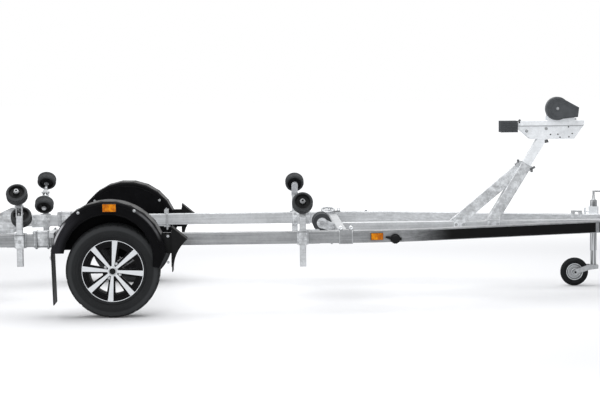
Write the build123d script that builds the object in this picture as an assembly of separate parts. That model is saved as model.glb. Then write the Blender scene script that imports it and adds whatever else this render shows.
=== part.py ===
from build123d import *
from math import cos, radians, sin, sqrt, tan
import os

os.makedirs("parts", exist_ok=True)

# Galvanised single-axle boat trailer with roller cradle, winch post and jockey wheel.
# Millimetres. Built with the axle line at X = 0, +X to the coupling, +Y to the left side,
# the ground at Z = 0, and shifted at the end so that X = 0 is the middle of its length.

# ---- driving dimensions: wheels ----
tyre_r = 298              # outer radius of a 185/65 R14 tyre
tyre_width = 185
tread_width = 158
rim_seat_r = 178          # bead seat radius of a 14 inch rim
rim_flange_r = 195
rim_width = 150
rim_wall = 6
spoke_count = 8
spoke_turn = -5           # degrees from the level spoke
spoke_hub_w = 17          # machined front bar of a spoke, at the hub and at the flange
spoke_rim_w = 42
spoke_front = 9           # depth of the front bar
spoke_flank = 8           # the black base of a spoke is this much wider on each side
spoke_base = 18           # and this deep
spoke_reach = 188         # the front bars end just inside the flange's outer edge
window_r = 150            # outer radius of the windows between the spokes
wheel_y = 896             # centre plane of each road wheel
hub_r = 66
hub_length = 76
boss_r = 33
cap_r = 27
cap_height = 8
stud_circle_r = 50        # the four wheel bolts stand on this circle
stud_r = 9
stud_count = 4
stud_height = 7
stub_r = 17
stub_back = 30            # from the rim's outer edge to the stub axle's end
pin_clearance = 0.1       # radial play of everything that turns on a pin

# ---- driving dimensions: chassis ----
beam_top = 513
beam_h = 80
beam_w = 50
beam_wall = 3
beam_y = 721              # centre line of the straight side beams
beam_tail_x = -1150
joint_x = 1486            # the drawbar beams meet the side beams here, inside the sleeves
bend_x = 1512             # the drawbar beams bend inwards from here
bend_r = 1900
bend_deg = 17.9
sleeve_length = 90
sleeve_wall = 5
cross_size = 60
cross_wall = 3
mid_cross_x = 1476
rear_cross_x = -1020
keel_size = 60
keel_top = 500
keel_nose_x = 4000
keel_joint = 400          # the drawbar beams are cut to the keel beam's side over this length

# ---- driving dimensions: axle ----
axle_tube_size = 60
axle_tube_x = 160
arm_thick = 26
arm_collar = 6            # the arm's root stands this far beyond the axle tube
arm_end_r = 32
arm_h = 56
arm_gap = 9               # from the side beam to the trailing arm
saddle_length = 250
saddle_thick = 8
saddle_width = 64

# ---- driving dimensions: mudguards ----
guard_gap = 64            # from the tyre's tread to the mudguard's roof
guard_back = 23.5         # the mudguard's centre lies behind the axle
guard_lift = 80.6         # and above it
guard_width = 220         # from the inner panel's face to the outer skirt's
guard_arm_gap = 5         # from the trailing arm to the inner panel
guard_wall = 4
guard_skirt = 80          # depth of the outer skirt
guard_round = 16          # radius between roof and skirts
guard_rear_deg = 174
guard_tip_reach = 318     # the front tip of the outer skirt, from the mudguard's centre
guard_tip_drop = 60
guard_roof_end = 30       # the roof ends this far above the centre
guard_bead = 5            # raised bead along the outer skirt's edge
guard_arm = 30            # square tube that carries the mudguard
front_arm_inset = 14.5    # from the front arm to the inside of the roof
rear_arm_gap = 7.4        # from the roof's outside to the rear arm
rear_arm_short = 50       # the rear arm ends this far inside the outer skirt
flap_width = 190
flap_thick = 6
flap_height = 328
flap_lean_deg = -1.5
chock_base = 286
chock_rise = 98
chock_nose = 80           # height of the straight back of a chock
chock_width = 120
chock_foot_z = 286
chock_gap = 34.5          # from the mudguard to a chock's back
holder_wall = 4
holder_low = 404          # lower and upper edge of the holder's side plates
holder_high = 526
holder_half = 45
holder_margin = 30        # the back plate ends this far inside the chock
marker_x = -11
marker_z = 701
marker_w = 82
marker_h = 46
marker_d = 20
front_marker_deg = 5.2    # place along the drawbar's bend
front_marker_w = 76
front_marker_h = 42
front_marker_d = 16
holder_x = 3178           # plug holder on the inner face of the left drawbar beam
plug_plate_w = 80
plug_plate_low = 488
plug_plate_h = 51
plug_plate_wall = 4
plug_hole_r = 14

# ---- driving dimensions: rollers ----
post_size = 40
post_wall = 3
post_gap = 3              # clamp pad between beam and post
clamp_w = 74
clamp_h = 90
clamp_wall = 6
roller_r = 68
roller_w = 64
roller_hub_r = 20
roller_recess = 16
roller_recess_r = 46
roller_axle_r = 10
single_tilt_deg = 25      # tilt of the front rollers' axles
rocker_tilt_deg = 40      # rest tilt of the rear pairs, inner roller on its stop
rocker_half = 125         # pivot to roller centre
rocker_hub_r = 20
rocker_pin_r = 6
rocker_hub_l = 28
bracket_thick = 8
bracket_w = 46
side_gap = 5              # from a roller to the bracket beside it
yoke_rise = 62            # pivot above the post's top
keel_roller_r = 63
keel_roller_waist = 44
keel_roller_w = 190
keel_plate = 6
keel_plate_r = 36
keel_mid_x = 1362
keel_mid_z = 505
keel_rear_x = -905
keel_rear_z = 540
keel_guide_x = -731       # forward edge of the rear bracket's guide ears
keel_guide_z = 620

# ---- driving dimensions: winch post ----
leg_size = 74
leg_wall = 3
mast_size = 60
mast_wall = 3
mast_deg = 58.5
mast_collar_x = 2776
mast_collar_z = 886
mast_reach = 310          # from the collar up into the winch channel
mast_overlap = 150        # and down into the leg
brace_deg = 39.8
brace_foot_x = 2382       # brace centre line where it crosses brace_foot_z
brace_foot_z = 565
brace_w = 40
brace_back = 160          # brace centre line, behind and along from its foot
brace_run = 520
foot_plate = 6
foot_w = 84
foot_drop = 40
foot_rise = 26
head_wall = 4
head_half = 48
head_rear_x = 2730
head_front_x = 3169
head_top = 1184
head_fold = 1152
head_bottom = 1058
head_hole_r = 5
stop_length = 118
stop_height = 78
stop_width = 100
stop_notch = 34
winch_x = 2977
winch_z = 1268
winch_plate = 4
winch_half = 48
frame_front = 128         # foot of the winch frame, ahead of and behind the drum's axis
frame_back = 62
frame_draw = 16           # its cheeks draw in by this much towards the drum
frame_ear = 30            # the cheeks' ears around the drum's shaft
frame_ear_rise = 34
frame_shoulder = 20
drum_r = 22
drum_flange_r = 52
drum_flange = 3
strap_r = 42
cover_r = 80
cover_depth = 44
cover_nose_x = 150
cover_round = 8
shaft_r = 9
crank_ahead = 91          # handle shaft from the drum's axis
crank_below = 28
grip_back = 74            # handle grip behind the drum's axis
grip_length = 130
grip_r = 15
crank_w = 26
crank_flat = 8

# ---- driving dimensions: jockey wheel ----
jockey_tube_r = 24
jockey_leg_r = 21
jockey_leg_wall = 3
jockey_x = 3307
jockey_trail = 136        # wheel axle behind the leg
jockey_wheel_r = 100
jockey_tyre_w = 50
jockey_rim_r = 60
jockey_axle_r = 8
jockey_tube_foot = 250
jockey_leg_foot = 150
jockey_leg_top = 480
fork_crown = 28
jockey_tube_top = 566
clamp_block = 92
clamp_block_h = 76
clamp_grip = 8
crank_reach = 130
cap_rise = 42             # closed head above the tube
spindle_rise = 104        # the crank's height above the tube
spindle_r = 8
crank_r = 6
knob_r = 12
knob_height = 76
tee_r = 7                 # T-handle of the clamp
tee_half = 25
tee_reach = 28

# ---- driving dimensions: nose and tail ----
coupling_length = 300
coupling_wall = 5
coupling_width = 74
coupling_overlap = 100
ball_r = 25
socket_r = 43
socket_depth = 26
ball_play = 0.3
nose_plate = 6
gusset_length = 300
gusset_inset = 10
lever_w = 34
lever_h = 14
lever_length = 144
light_bar_x = -1215
light_bar_h = 100
light_bar_half = 880
light_bar_thick = 30
bar_arm_w = 36            # arms between the light bar and the beams' end plates
bar_arm_h = 56
end_plate = 4
lamp_w = 240
lamp_h = 110
lamp_d = 34

sides = (("right", -1), ("left", 1))

# holes of the winch channel's cheeks: distance behind the front end, distance below the top
head_holes = ((106, 44), (80, 90), (103, 112), (164, 114), (179, 94), (230, 95), (260, 54))

# post name, x, side, foot height, height of the roller or of the pivot
posts = (
    ("front_right", 1207, -1, 289, 698),
    ("front_left", 1201, 1, 300, 729),
    ("rear_right", -603, -1, 312, 700),
    ("rear_left", -614, 1, 300, 674),
)

# ---- worked out from the above ----
beam_bottom = beam_top - beam_h
beam_mid_z = beam_top - beam_h / 2
beam_out = beam_y + beam_w / 2
beam_in = beam_y - beam_w / 2
post_y = beam_out + post_gap + post_size / 2
keel_z = keel_top - keel_size / 2
cross_z = keel_z
bend_end_x = bend_x + bend_r * sin(radians(bend_deg))
bend_end_y = beam_y - bend_r * (1 - cos(radians(bend_deg)))
nose_y = keel_size / 2 + beam_w / 2 / cos(radians(bend_deg))
nose_x = bend_end_x + (bend_end_y - nose_y) / tan(radians(bend_deg))
axle_z = beam_bottom - axle_tube_size / 2 - saddle_thick
guard_x = -guard_back
guard_z = tyre_r + guard_lift
guard_r = tyre_r + guard_gap
arm_rise = beam_top + guard_arm - guard_z
front_arm_x = guard_x + sqrt((guard_r - guard_wall)**2 - arm_rise**2) - front_arm_inset - guard_arm / 2
rear_arm_x = guard_x - sqrt(guard_r**2 - (beam_top - guard_z)**2) - rear_arm_gap - guard_arm / 2
chock_x = guard_x + guard_r + chock_gap
arm_in = beam_out + arm_gap
guard_in = arm_in + arm_thick + guard_arm_gap
guard_out = guard_in + guard_width
arm_root_r = axle_tube_size / 2 + arm_collar
lean = radians(bend_deg)
ball_x = keel_nose_x - coupling_overlap + coupling_length - socket_r
tail_end_x = light_bar_x - light_bar_thick - lamp_d
nose_end_x = ball_x + socket_r
mid_x = (tail_end_x + nose_end_x) / 2


def save(name, *solids):
    """Write the solids of one node in the row's own frame."""
    moved = [s.moved(Location((-mid_x, 0, 0))) for s in solids]
    shape = moved[0] if len(moved) == 1 else Compound(moved)
    export_step(shape, f"parts/{name}.step")


def block(x0, x1, y0, y1, z0, z1):
    """A box given by its two corners."""
    size = (abs(x1 - x0), abs(y1 - y0), abs(z1 - z0))
    return Pos((x0 + x1) / 2, (y0 + y1) / 2, (z0 + z1) / 2) * Box(*size)


def solid(shape):
    """The one solid of a shape."""
    found = shape.solids()
    assert len(found) == 1, len(found)
    return found[0]


def rod(p, q, r):
    """A round bar from point p to point q."""
    p, q = Vector(*p), Vector(*q)
    plane = Plane(origin=p, z_dir=q - p)
    return extrude(plane * Circle(r), (q - p).length)


def bar(p, q, width, height, up=(0, 1, 0)):
    """A rectangular bar from p to q, its width along up."""
    p, q, up = Vector(*p), Vector(*q), Vector(*up)
    plane = Plane(origin=p, x_dir=up, z_dir=q - p)
    return extrude(plane * Rectangle(width, height), (q - p).length)


def tube(p, q, width, height, wall, up=(0, 1, 0)):
    """A rectangular hollow section with rounded corners from p to q."""
    p, q, up = Vector(*p), Vector(*q), Vector(*up)
    plane = Plane(origin=p, x_dir=up, z_dir=q - p)
    outer = RectangleRounded(width, height, wall * 2)
    inner = RectangleRounded(width - 2 * wall, height - 2 * wall, wall)
    return extrude(plane * (outer - inner), (q - p).length)


def ring(p, q, r, bore):
    """A round tube or washer from p to q."""
    return rod(p, q, r) - rod(p, q, bore)


def outline(points, depth, y):
    """A plate cut to (x, z) points, from y outwards by depth."""
    plane = Plane(origin=(0, y, 0), x_dir=(1, 0, 0), z_dir=(0, -1, 0))
    face = make_face(plane * Polyline(*points, close=True))
    return extrude(face, depth, dir=(0, -1, 0))


# ---- side beams: straight box tubes from the tail to the sleeve ----
for name, s in sides:
    beam = tube(
        (beam_tail_x, s * beam_y, beam_mid_z),
        (joint_x, s * beam_y, beam_mid_z),
        beam_w, beam_h, beam_wall,
    )
    save(f"side_beam_{name}", solid(beam))

# ---- drawbar beams: bent inwards on a wide radius, then straight to the keel beam ----
section = RectangleRounded(beam_w, beam_h, beam_wall * 2)
section -= RectangleRounded(beam_w - 2 * beam_wall, beam_h - 2 * beam_wall, beam_wall)
for name, s in sides:
    start = (joint_x, s * beam_y, beam_mid_z)
    turn = (bend_x, s * beam_y, beam_mid_z)
    run = (nose_x + beam_w, s * (nose_y - beam_w * tan(radians(bend_deg))), beam_mid_z)
    bend = (bend_end_x, s * bend_end_y, beam_mid_z)
    path = Wire([
        Line(start, turn).edge(), TangentArc(turn, bend, tangent=(1, 0, 0)).edge(), Line(bend, run).edge(),
    ])
    face = Plane(origin=start, x_dir=(0, 1, 0), z_dir=(1, 0, 0)) * section
    drawbar = sweep(face, path=path)
    keel_side = block(
        nose_x - keel_joint, nose_x + keel_joint,
        -s * keel_joint / 2, s * keel_size / 2,
        beam_bottom - 10, beam_top + 10,
    )
    save(f"drawbar_{name}", solid(drawbar - keel_side))

# ---- sleeves: channels that wrap each beam joint from outside, bolted through ----
sleeves = []
for name, s in sides:
    x0, x1 = joint_x - sleeve_length / 2, joint_x + sleeve_length / 2
    inner = s * (beam_y - beam_w / 2)
    outer = s * (beam_out + sleeve_wall)
    channel = block(x0, x1, inner, outer, beam_bottom - sleeve_wall, beam_top + sleeve_wall)
    channel -= block(x0 - 1, x1 + 1, inner - s, s * beam_out, beam_bottom, beam_top)
    sleeves.append(solid(channel))
save("beam_sleeves", *sleeves)

# ---- cross members between the side beams ----
for name, x in (("mid_cross_member", mid_cross_x), ("rear_cross_member", rear_cross_x)):
    member = tube((x, -beam_in, cross_z), (x, beam_in, cross_z), cross_size, cross_size, cross_wall,
                  up=(1, 0, 0))
    save(name, solid(member))

# ---- keel beam: from the mid cross member to the coupling ----
keel_tail_x = mid_cross_x + cross_size / 2
keel = tube((keel_tail_x, 0, keel_z), (keel_nose_x, 0, keel_z), keel_size, keel_size, cross_wall)
save("keel_beam", solid(keel))

# ---- torsion axle: square tube on saddles, trailing arms and stub axles ----
axle = block(
    axle_tube_x - axle_tube_size / 2, axle_tube_x + axle_tube_size / 2,
    -arm_in, arm_in,
    axle_z - axle_tube_size / 2, axle_z + axle_tube_size / 2,
)
for name, s in sides:
    axle += block(
        axle_tube_x - saddle_length / 2, axle_tube_x + saddle_length / 2,
        s * (beam_y - saddle_width / 2), s * (beam_y + saddle_width / 2),
        beam_bottom - saddle_thick, beam_bottom,
    )
save("axle_tube", solid(axle))
for name, s in sides:
    y0, y1 = s * arm_in, s * (arm_in + arm_thick)
    middle = (y0 + y1) / 2
    arm = rod((axle_tube_x, y0, axle_z), (axle_tube_x, y1, axle_z), arm_root_r)
    arm += rod((0, y0, tyre_r), (0, y1, tyre_r), arm_end_r)
    arm += bar((axle_tube_x, middle, axle_z), (0, middle, tyre_r), arm_thick, arm_h)
    stub_end = s * (wheel_y + rim_width / 2 - stub_back)
    arm += rod((0, y1, tyre_r), (0, stub_end, tyre_r), stub_r)
    save(f"axle_arm_{name}", solid(arm))

# ---- road wheels: tyre, alloy rim with eight spokes, hub on the stub axle ----
half_w, half_tread = tyre_width / 2, tread_width / 2
half_rim = rim_width / 2


def tyre_profile():
    """Half section of the tyre, x along the axle, y outwards."""
    shoulder = tyre_r - 14
    wall_r = (rim_flange_r + tyre_r) / 2
    with BuildSketch() as sketch:
        with BuildLine():
            Polyline((-half_rim + 6, rim_seat_r), (half_rim - 6, rim_seat_r), (half_rim - 6, rim_flange_r))
            ThreePointArc((half_rim - 6, rim_flange_r), (half_w, wall_r), (half_tread + 6, shoulder))
            Line((half_tread + 6, shoulder), (half_tread - 12, tyre_r - 2))
            ThreePointArc((half_tread - 12, tyre_r - 2), (0, tyre_r), (-half_tread + 12, tyre_r - 2))
            Line((-half_tread + 12, tyre_r - 2), (-half_tread - 6, shoulder))
            ThreePointArc((-half_tread - 6, shoulder), (-half_w, wall_r), (-half_rim + 6, rim_flange_r))
            Line((-half_rim + 6, rim_flange_r), (-half_rim + 6, rim_seat_r))
        make_face()
    return sketch.sketch


def rim_profile():
    """Half section of the rim barrel with its two flanges."""
    seat, well = rim_seat_r, rim_seat_r - 22
    points = [
        (-half_rim, rim_flange_r), (-half_rim + 6, rim_flange_r), (-half_rim + 6, seat),
        (-40, seat), (-28, well), (20, well), (32, seat),
        (half_rim - 6, seat), (half_rim - 6, rim_flange_r), (half_rim, rim_flange_r),
        (half_rim, seat - rim_wall), (36, seat - rim_wall), (24, well - rim_wall),
        (-32, well - rim_wall), (-44, seat - rim_wall), (-half_rim, seat - rim_wall),
    ]
    return make_face(Polyline(*points, close=True))


for name, s in sides:
    # x of the profile runs along the axle, outwards
    wheel = Plane(origin=(0, s * wheel_y, tyre_r), x_dir=(0, s, 0), z_dir=(s, 0, 0))
    spin = Axis((0, s * wheel_y, tyre_r), (0, 1, 0))
    tyre = revolve(wheel * tyre_profile(), spin)
    cavity = wheel * make_face(Polyline(
        (-half_rim + 18, rim_seat_r), (half_rim - 18, rim_seat_r),
        (half_w - 14, (rim_flange_r + tyre_r) / 2), (half_tread - 10, tyre_r - 24),
        (-half_tread + 10, tyre_r - 24), (-half_w + 14, (rim_flange_r + tyre_r) / 2),
        close=True,
    ))
    save(f"tyre_{name}", solid(tyre - revolve(cavity, spin)))

    rim = revolve(wheel * rim_profile(), spin)
    # the wheel disc: a black hub plate, ring and spoke bases behind bright machined front bars
    face_y = wheel_y + half_rim + 0.5
    base_y = face_y - spoke_front
    hub_at = (0, s * base_y, tyre_r)
    rim += rod((0, s * (base_y - hub_length), tyre_r), hub_at, hub_r - spoke_flank)
    rim += rod((0, s * (base_y - spoke_base), tyre_r), hub_at, hub_r)
    ring_at = (0, s * (base_y - spoke_base), tyre_r)
    rim += ring(ring_at, (0, s * (base_y - 2), tyre_r), rim_seat_r - rim_wall / 2, window_r)
    bore_end = wheel_y + half_rim - stub_back + 1
    for i in range(spoke_count):
        angle = 360 / spoke_count * i + spoke_turn
        for flank, reach, top_y, depth in (
            (0, spoke_reach, face_y, spoke_front + 1), (spoke_flank, window_r + rim_wall, base_y, spoke_base),
        ):
            inner, outer = spoke_hub_w / 2 + flank, spoke_rim_w / 2 + flank
            corners = [(cap_r, -inner), (reach, -outer), (reach, outer), (cap_r, inner)]
            spoke = make_face(Polyline(*corners, close=True))
            disc = Plane(origin=(0, s * top_y, tyre_r), x_dir=(1, 0, 0), z_dir=(0, -s, 0))
            rim += extrude(disc * (Rot(0, 0, s * angle) * spoke), depth, dir=(0, -s, 0))
    # the bars stay clear of the tyre's beads
    bead = half_rim - 6
    rim -= ring((0, s * (wheel_y - bead), tyre_r), (0, s * (wheel_y + bead), tyre_r),
                rim_flange_r + 1, rim_seat_r)
    rim += rod(hub_at, (0, s * face_y, tyre_r), boss_r)
    rim += rod((0, s * face_y, tyre_r), (0, s * (face_y + cap_height), tyre_r), cap_r)
    for i in range(stud_count):
        turn = radians(360 / stud_count * i + spoke_turn + 180 / spoke_count + 45)
        stud = Vector(stud_circle_r * cos(turn), s * base_y, tyre_r + stud_circle_r * sin(turn))
        rim += rod(stud - Vector(0, s, 0), stud + Vector(0, s * stud_height, 0), stud_r)
    rim -= rod((0, 0, tyre_r), (0, s * bore_end, tyre_r), stub_r + pin_clearance)
    save(f"rim_{name}", solid(rim))

# ---- mudguards: moulded shells, closed on the inner side, with a rolled outer lip ----
for name, s in sides:
    y0, y1 = guard_in, guard_out
    outer_face = (guard_x, s * y1, guard_z)
    shell = rod((guard_x, s * y0, guard_z), outer_face, guard_r)
    hollow = rod((guard_x, s * (y0 + guard_wall), guard_z), (guard_x, s * (y1 - guard_wall), guard_z),
                 guard_r - guard_wall)
    guard = fillet(shell.edges().filter_by(GeomType.CIRCLE), guard_round)
    guard -= fillet(hollow.edges().filter_by(GeomType.CIRCLE), guard_round - guard_wall)
    lip_r = guard_r - guard_skirt
    lip_at = (guard_x, s * (y1 - 2 * guard_wall), guard_z)
    guard -= rod(lip_at, (guard_x, s * (y1 + 1), guard_z), lip_r)
    guard += ring(lip_at, outer_face, lip_r + guard_bead, lip_r)
    # cut away below the rear end, the centre and the pointed front end
    rear_z = guard_z + guard_r * sin(radians(guard_rear_deg))
    roof_z = guard_z + guard_roof_end
    reach = guard_r * 1.5
    below = [
        (guard_x - reach, rear_z), (guard_x, rear_z), (guard_x, guard_z),
        (guard_x + guard_tip_reach, guard_z - guard_tip_drop), (guard_x + guard_r, roof_z),
        (guard_x + reach, roof_z), (guard_x + reach, guard_z - reach), (guard_x - reach, guard_z - reach),
    ]
    guard -= outline(below, 4 * wheel_y, 2 * wheel_y)
    save(f"mudguard_{name}", solid(guard))

# ---- mudguard arms: square tubes on the beams, bolted to the mudguards ----
arms = []
for name, s in sides:
    for x, reach in ((front_arm_x, guard_out - guard_wall), (rear_arm_x, guard_out - rear_arm_short)):
        x0, x1 = x - guard_arm / 2, x + guard_arm / 2
        arm = block(x0, x1, s * beam_in, s * reach, beam_top, beam_top + guard_arm)
        if x < 0:
            arm -= rod((guard_x, s * beam_out, guard_z), (guard_x, s * 2 * wheel_y, guard_z), guard_r)
        else:
            arm -= block(x0 - 1, x1 + 1, s * guard_in, s * (guard_in + guard_wall),
                         beam_top - 1, beam_top + guard_arm + 1)
        arms.append(arm)
save("mudguard_arms", *[piece for arm in arms for piece in arm.solids()])

# ---- mud flaps: rubber sheets below the rear ends of the mudguards ----
flaps = []
for name, s in sides:
    top_z = guard_z + guard_r * sin(radians(guard_rear_deg))
    rear_x = guard_x - sqrt(guard_r**2 - (top_z - guard_z)**2)
    swing = tan(radians(flap_lean_deg)) * flap_height
    points = [
        (rear_x, top_z), (rear_x + flap_thick, top_z),
        (rear_x + flap_thick - swing, top_z - flap_height), (rear_x - swing, top_z - flap_height),
    ]
    flap = outline(points, flap_width, s * wheel_y + flap_width / 2)
    flaps.append(solid(flap))
save("mud_flaps", *flaps)

# ---- wheel chocks: wedges stored upright in sheet holders ahead of the mudguards ----
chocks, holders = [], []
for name, s in sides:
    y0 = s * wheel_y + chock_width / 2
    toe, heel = (chock_x, chock_foot_z), (chock_x, chock_foot_z + chock_base)
    nose = (chock_x + chock_rise, heel[1] - chock_nose)
    lip = (chock_x + 6, chock_foot_z)
    plane = Plane(origin=(0, y0, 0), x_dir=(1, 0, 0), z_dir=(0, -1, 0))
    hollow = ((nose[0] + lip[0]) / 2 - 22, (nose[1] + lip[1]) / 2 + 10)
    with BuildSketch() as wedge:
        with BuildLine():
            Polyline(lip, toe, heel, nose)
            ThreePointArc(nose, hollow, lip)
        make_face()
    chocks.append(solid(extrude(plane * wedge.sketch, chock_width, dir=(0, -1, 0))))
    low, high = chock_foot_z + holder_margin, chock_foot_z + chock_base - holder_margin
    y_in, y_out = s * (wheel_y - holder_half), s * (wheel_y + holder_half)
    holder = block(chock_x - holder_wall, chock_x, y_in, y_out, low, high)
    for y_edge, way in ((y_in, s), (y_out, -s)):
        holder += block(guard_x, chock_x - holder_wall / 2, y_edge, y_edge + way * holder_wall,
                        holder_low, holder_high)
    holder -= rod((guard_x, y_in - s, guard_z), (guard_x, y_out + s, guard_z), guard_r)
    holders.append(solid(holder))
save("wheel_chocks", *chocks)
save("chock_holders", *holders)

# ---- side marker lamps: two on the mudguards, two on the bent drawbar beams ----
markers = []
for name, s in sides:
    y = s * guard_out
    lamp = block(marker_x - marker_w / 2, marker_x + marker_w / 2, y, y + s * marker_d,
                 marker_z - marker_h / 2, marker_z + marker_h / 2)
    markers.append(solid(lamp))
    turn = radians(front_marker_deg)
    face_r = bend_r + beam_w / 2
    spot = Location(
        (bend_x + face_r * sin(turn), s * (beam_y - bend_r + face_r * cos(turn)), beam_mid_z),
        (0, 0, -s * front_marker_deg),
    )
    lamp = Box(front_marker_w, front_marker_d, front_marker_h)
    markers.append(solid(spot * Pos(0, s * front_marker_d / 2, 0) * lamp))
save("marker_lamps", *markers)

# ---- plug holder: a small plate with a hole, on the inner face of the left drawbar beam ----
inner_y = bend_end_y - (holder_x - bend_end_x) * tan(lean) - beam_w / 2 / cos(lean)
seat = Location((holder_x, inner_y, plug_plate_low + plug_plate_h / 2), (0, 0, -bend_deg))
plate = seat * Pos(0, -plug_plate_wall / 2, 0) * Box(plug_plate_w, plug_plate_wall, plug_plate_h)
plate -= seat * rod((0, -plug_plate_wall - 1, 0), (0, 1, 0), plug_hole_r)
save("plug_holder", solid(plate))


# ---- rollers ----
def roller(centre, axis, bore):
    """A tread roller with recessed ends around a raised hub."""
    w, edge = roller_w / 2, 9
    half = [
        (bore, w - 2), (roller_hub_r, w - 2), (roller_hub_r, w - roller_recess),
        (roller_recess_r, w - roller_recess), (roller_recess_r + 6, w),
        (roller_r - edge, w), (roller_r, w - edge),
    ]
    points = half + [(r, -z) for r, z in reversed(half)]
    profile = make_face(Plane.XZ * Polyline(*points, close=True))
    return Plane(origin=centre, z_dir=axis).location * revolve(profile, Axis.Z)


def keel_roller(centre, bore):
    """A waisted keel roller, its axis across the trailer."""
    half = keel_roller_w / 2
    points = [(bore, -half), (keel_roller_r, -half), (keel_roller_r, -half + 22), (keel_roller_waist, 0),
              (keel_roller_r, half - 22), (keel_roller_r, half), (bore, half)]
    profile = make_face(Plane.XZ * Polyline(*points, close=True))
    return Plane(origin=centre, z_dir=(0, 1, 0)).location * revolve(profile, Axis.Z)


roller_bore = roller_axle_r + pin_clearance
clamps = []
for name, x, s, foot_z, roller_z in posts:
    y = s * post_y
    half = post_size / 2
    if name.startswith("front"):
        # one roller on a stub axle, carried by a tilted plate on the post's top
        t = radians(single_tilt_deg)
        out = Vector(0, s * cos(t), sin(t))
        down = Vector(0, s * sin(t), -cos(t))
        centre = Vector(x, y, roller_z)
        plate_at = roller_w / 2 + side_gap + bracket_thick / 2
        drop = plate_at * cos(t) / sin(t)
        top_z = roller_z - plate_at * sin(t) - drop * cos(t) + 6
        eye = centre - out * plate_at
        head = bar(eye, eye + down * (drop + 2), bracket_w, bracket_thick, up=(1, 0, 0))
        head += rod(eye - out * bracket_thick / 2, eye + out * bracket_thick / 2, bracket_w / 2)
        head += rod(eye, centre + out * (roller_w / 2 + 12), roller_axle_r)
        head += rod(centre + out * (roller_w / 2 - 1), centre + out * (roller_w / 2 + 4), roller_axle_r + 6)
        head += block(x - half, x + half, y - half, y + half, top_z - 10, top_z)
        head -= block(x - 60, x + 60, y - 80, y + 80, top_z - 80, top_z - 10)
        save(f"roller_{name}", solid(roller(centre, out, roller_bore)))
    else:
        # a pair of rollers on a rocker that tilts in a yoke on the post's top
        top_z = roller_z - yoke_rise
        slot = rocker_hub_l / 2 + 0.5
        head = block(x - half, x + half, y - half, y + half, top_z - 10, roller_z)
        head += rod((x - half, y, roller_z), (x + half, y, roller_z), half)
        head -= block(x - slot, x + slot, y - half - 1, y + half + 1, top_z, roller_z + half + 1)
        head += rod((x - half - 6, y, roller_z), (x + half + 6, y, roller_z), rocker_pin_r)
    post = tube((x, y, foot_z), (x, y, top_z - 10), post_size, post_size, post_wall, up=(1, 0, 0))
    save(f"post_{name}", solid(post + head))
    collar = block(x - clamp_w / 2, x + clamp_w / 2, s * beam_out, s * (beam_out + clamp_wall),
                   beam_mid_z - clamp_h / 2, beam_mid_z + clamp_h / 2)
    wrap = half + clamp_wall
    collar += block(x - wrap, x + wrap, s * beam_out, y + s * wrap,
                    beam_mid_z - clamp_h / 2, beam_mid_z + clamp_h / 2)
    collar -= block(x - half, x + half, y - half, y + half, beam_mid_z - clamp_h, beam_mid_z + clamp_h)
    clamps.append(solid(collar))
save("post_clamps", *clamps)

for name, x, s, foot_z, pivot_z in posts:
    if name.startswith("front"):
        continue
    t = radians(rocker_tilt_deg)
    out = Vector(0, s * cos(t), sin(t))
    pivot = Vector(x, s * post_y, pivot_z)
    end = rocker_half + roller_w / 2
    rocker = rod(pivot - out * (end + 12), pivot + out * (end + 12), roller_axle_r)
    hub_end = Vector(rocker_hub_l / 2, 0, 0)
    rocker += rod(pivot - hub_end, pivot + hub_end, rocker_hub_r)
    for way in (-1, 1):
        for a, b in ((end - 1, end + 4), (rocker_half - roller_w / 2 - 6, rocker_half - roller_w / 2 + 1)):
            rocker += rod(pivot + out * way * a, pivot + out * way * b, roller_axle_r + 6)
    rocker -= rod(pivot - hub_end * 2, pivot + hub_end * 2, rocker_pin_r + pin_clearance)
    save(f"rocker_{name}", solid(rocker))
    for place, way in (("outer", 1), ("inner", -1)):
        centre = pivot + out * way * rocker_half
        save(f"roller_{name}_{place}", solid(roller(centre, out, roller_bore)))

# ---- keel rollers in plate brackets on the cross members ----
plate_in = keel_roller_w / 2 + side_gap
plate_out = plate_in + keel_plate
for name, face_x, way, roller_x, roller_z, front_x in (
    ("mid", mid_cross_x - cross_size / 2, -1, keel_mid_x, keel_mid_z, None),
    ("rear", rear_cross_x + cross_size / 2, 1, keel_rear_x, keel_rear_z, keel_guide_x),
):
    low, high = cross_z - cross_size / 2, cross_z + cross_size / 2
    bracket = block(face_x, face_x + way * keel_plate, -plate_out, plate_out, low, high)
    for side in (-1, 1):
        points = [(face_x, low), (face_x, high), (roller_x, roller_z + keel_plate_r),
                  (roller_x + way * keel_plate_r, roller_z), (roller_x, roller_z - keel_plate_r)]
        if front_x:
            points = [(face_x, low), (face_x, high), (roller_x - 10, roller_z + keel_plate_r),
                      (roller_x + keel_plate_r, roller_z + keel_plate_r), (front_x - 40, keel_guide_z),
                      (front_x, keel_guide_z), (front_x, low + 20), (front_x - 40, low)]
        y_edge = side * plate_out if side > 0 else -plate_in
        bracket += outline(points, keel_plate, y_edge)
        if not front_x:
            y0 = side * plate_in
            bracket += rod((roller_x, y0, roller_z), (roller_x, side * plate_out, roller_z), keel_plate_r)
    bracket += rod((roller_x, -plate_out - 8, roller_z), (roller_x, plate_out + 8, roller_z), roller_axle_r)
    save(f"keel_bracket_{name}", solid(bracket))
    save(f"keel_roller_{name}", solid(keel_roller((roller_x, 0, roller_z), roller_bore)))

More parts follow.
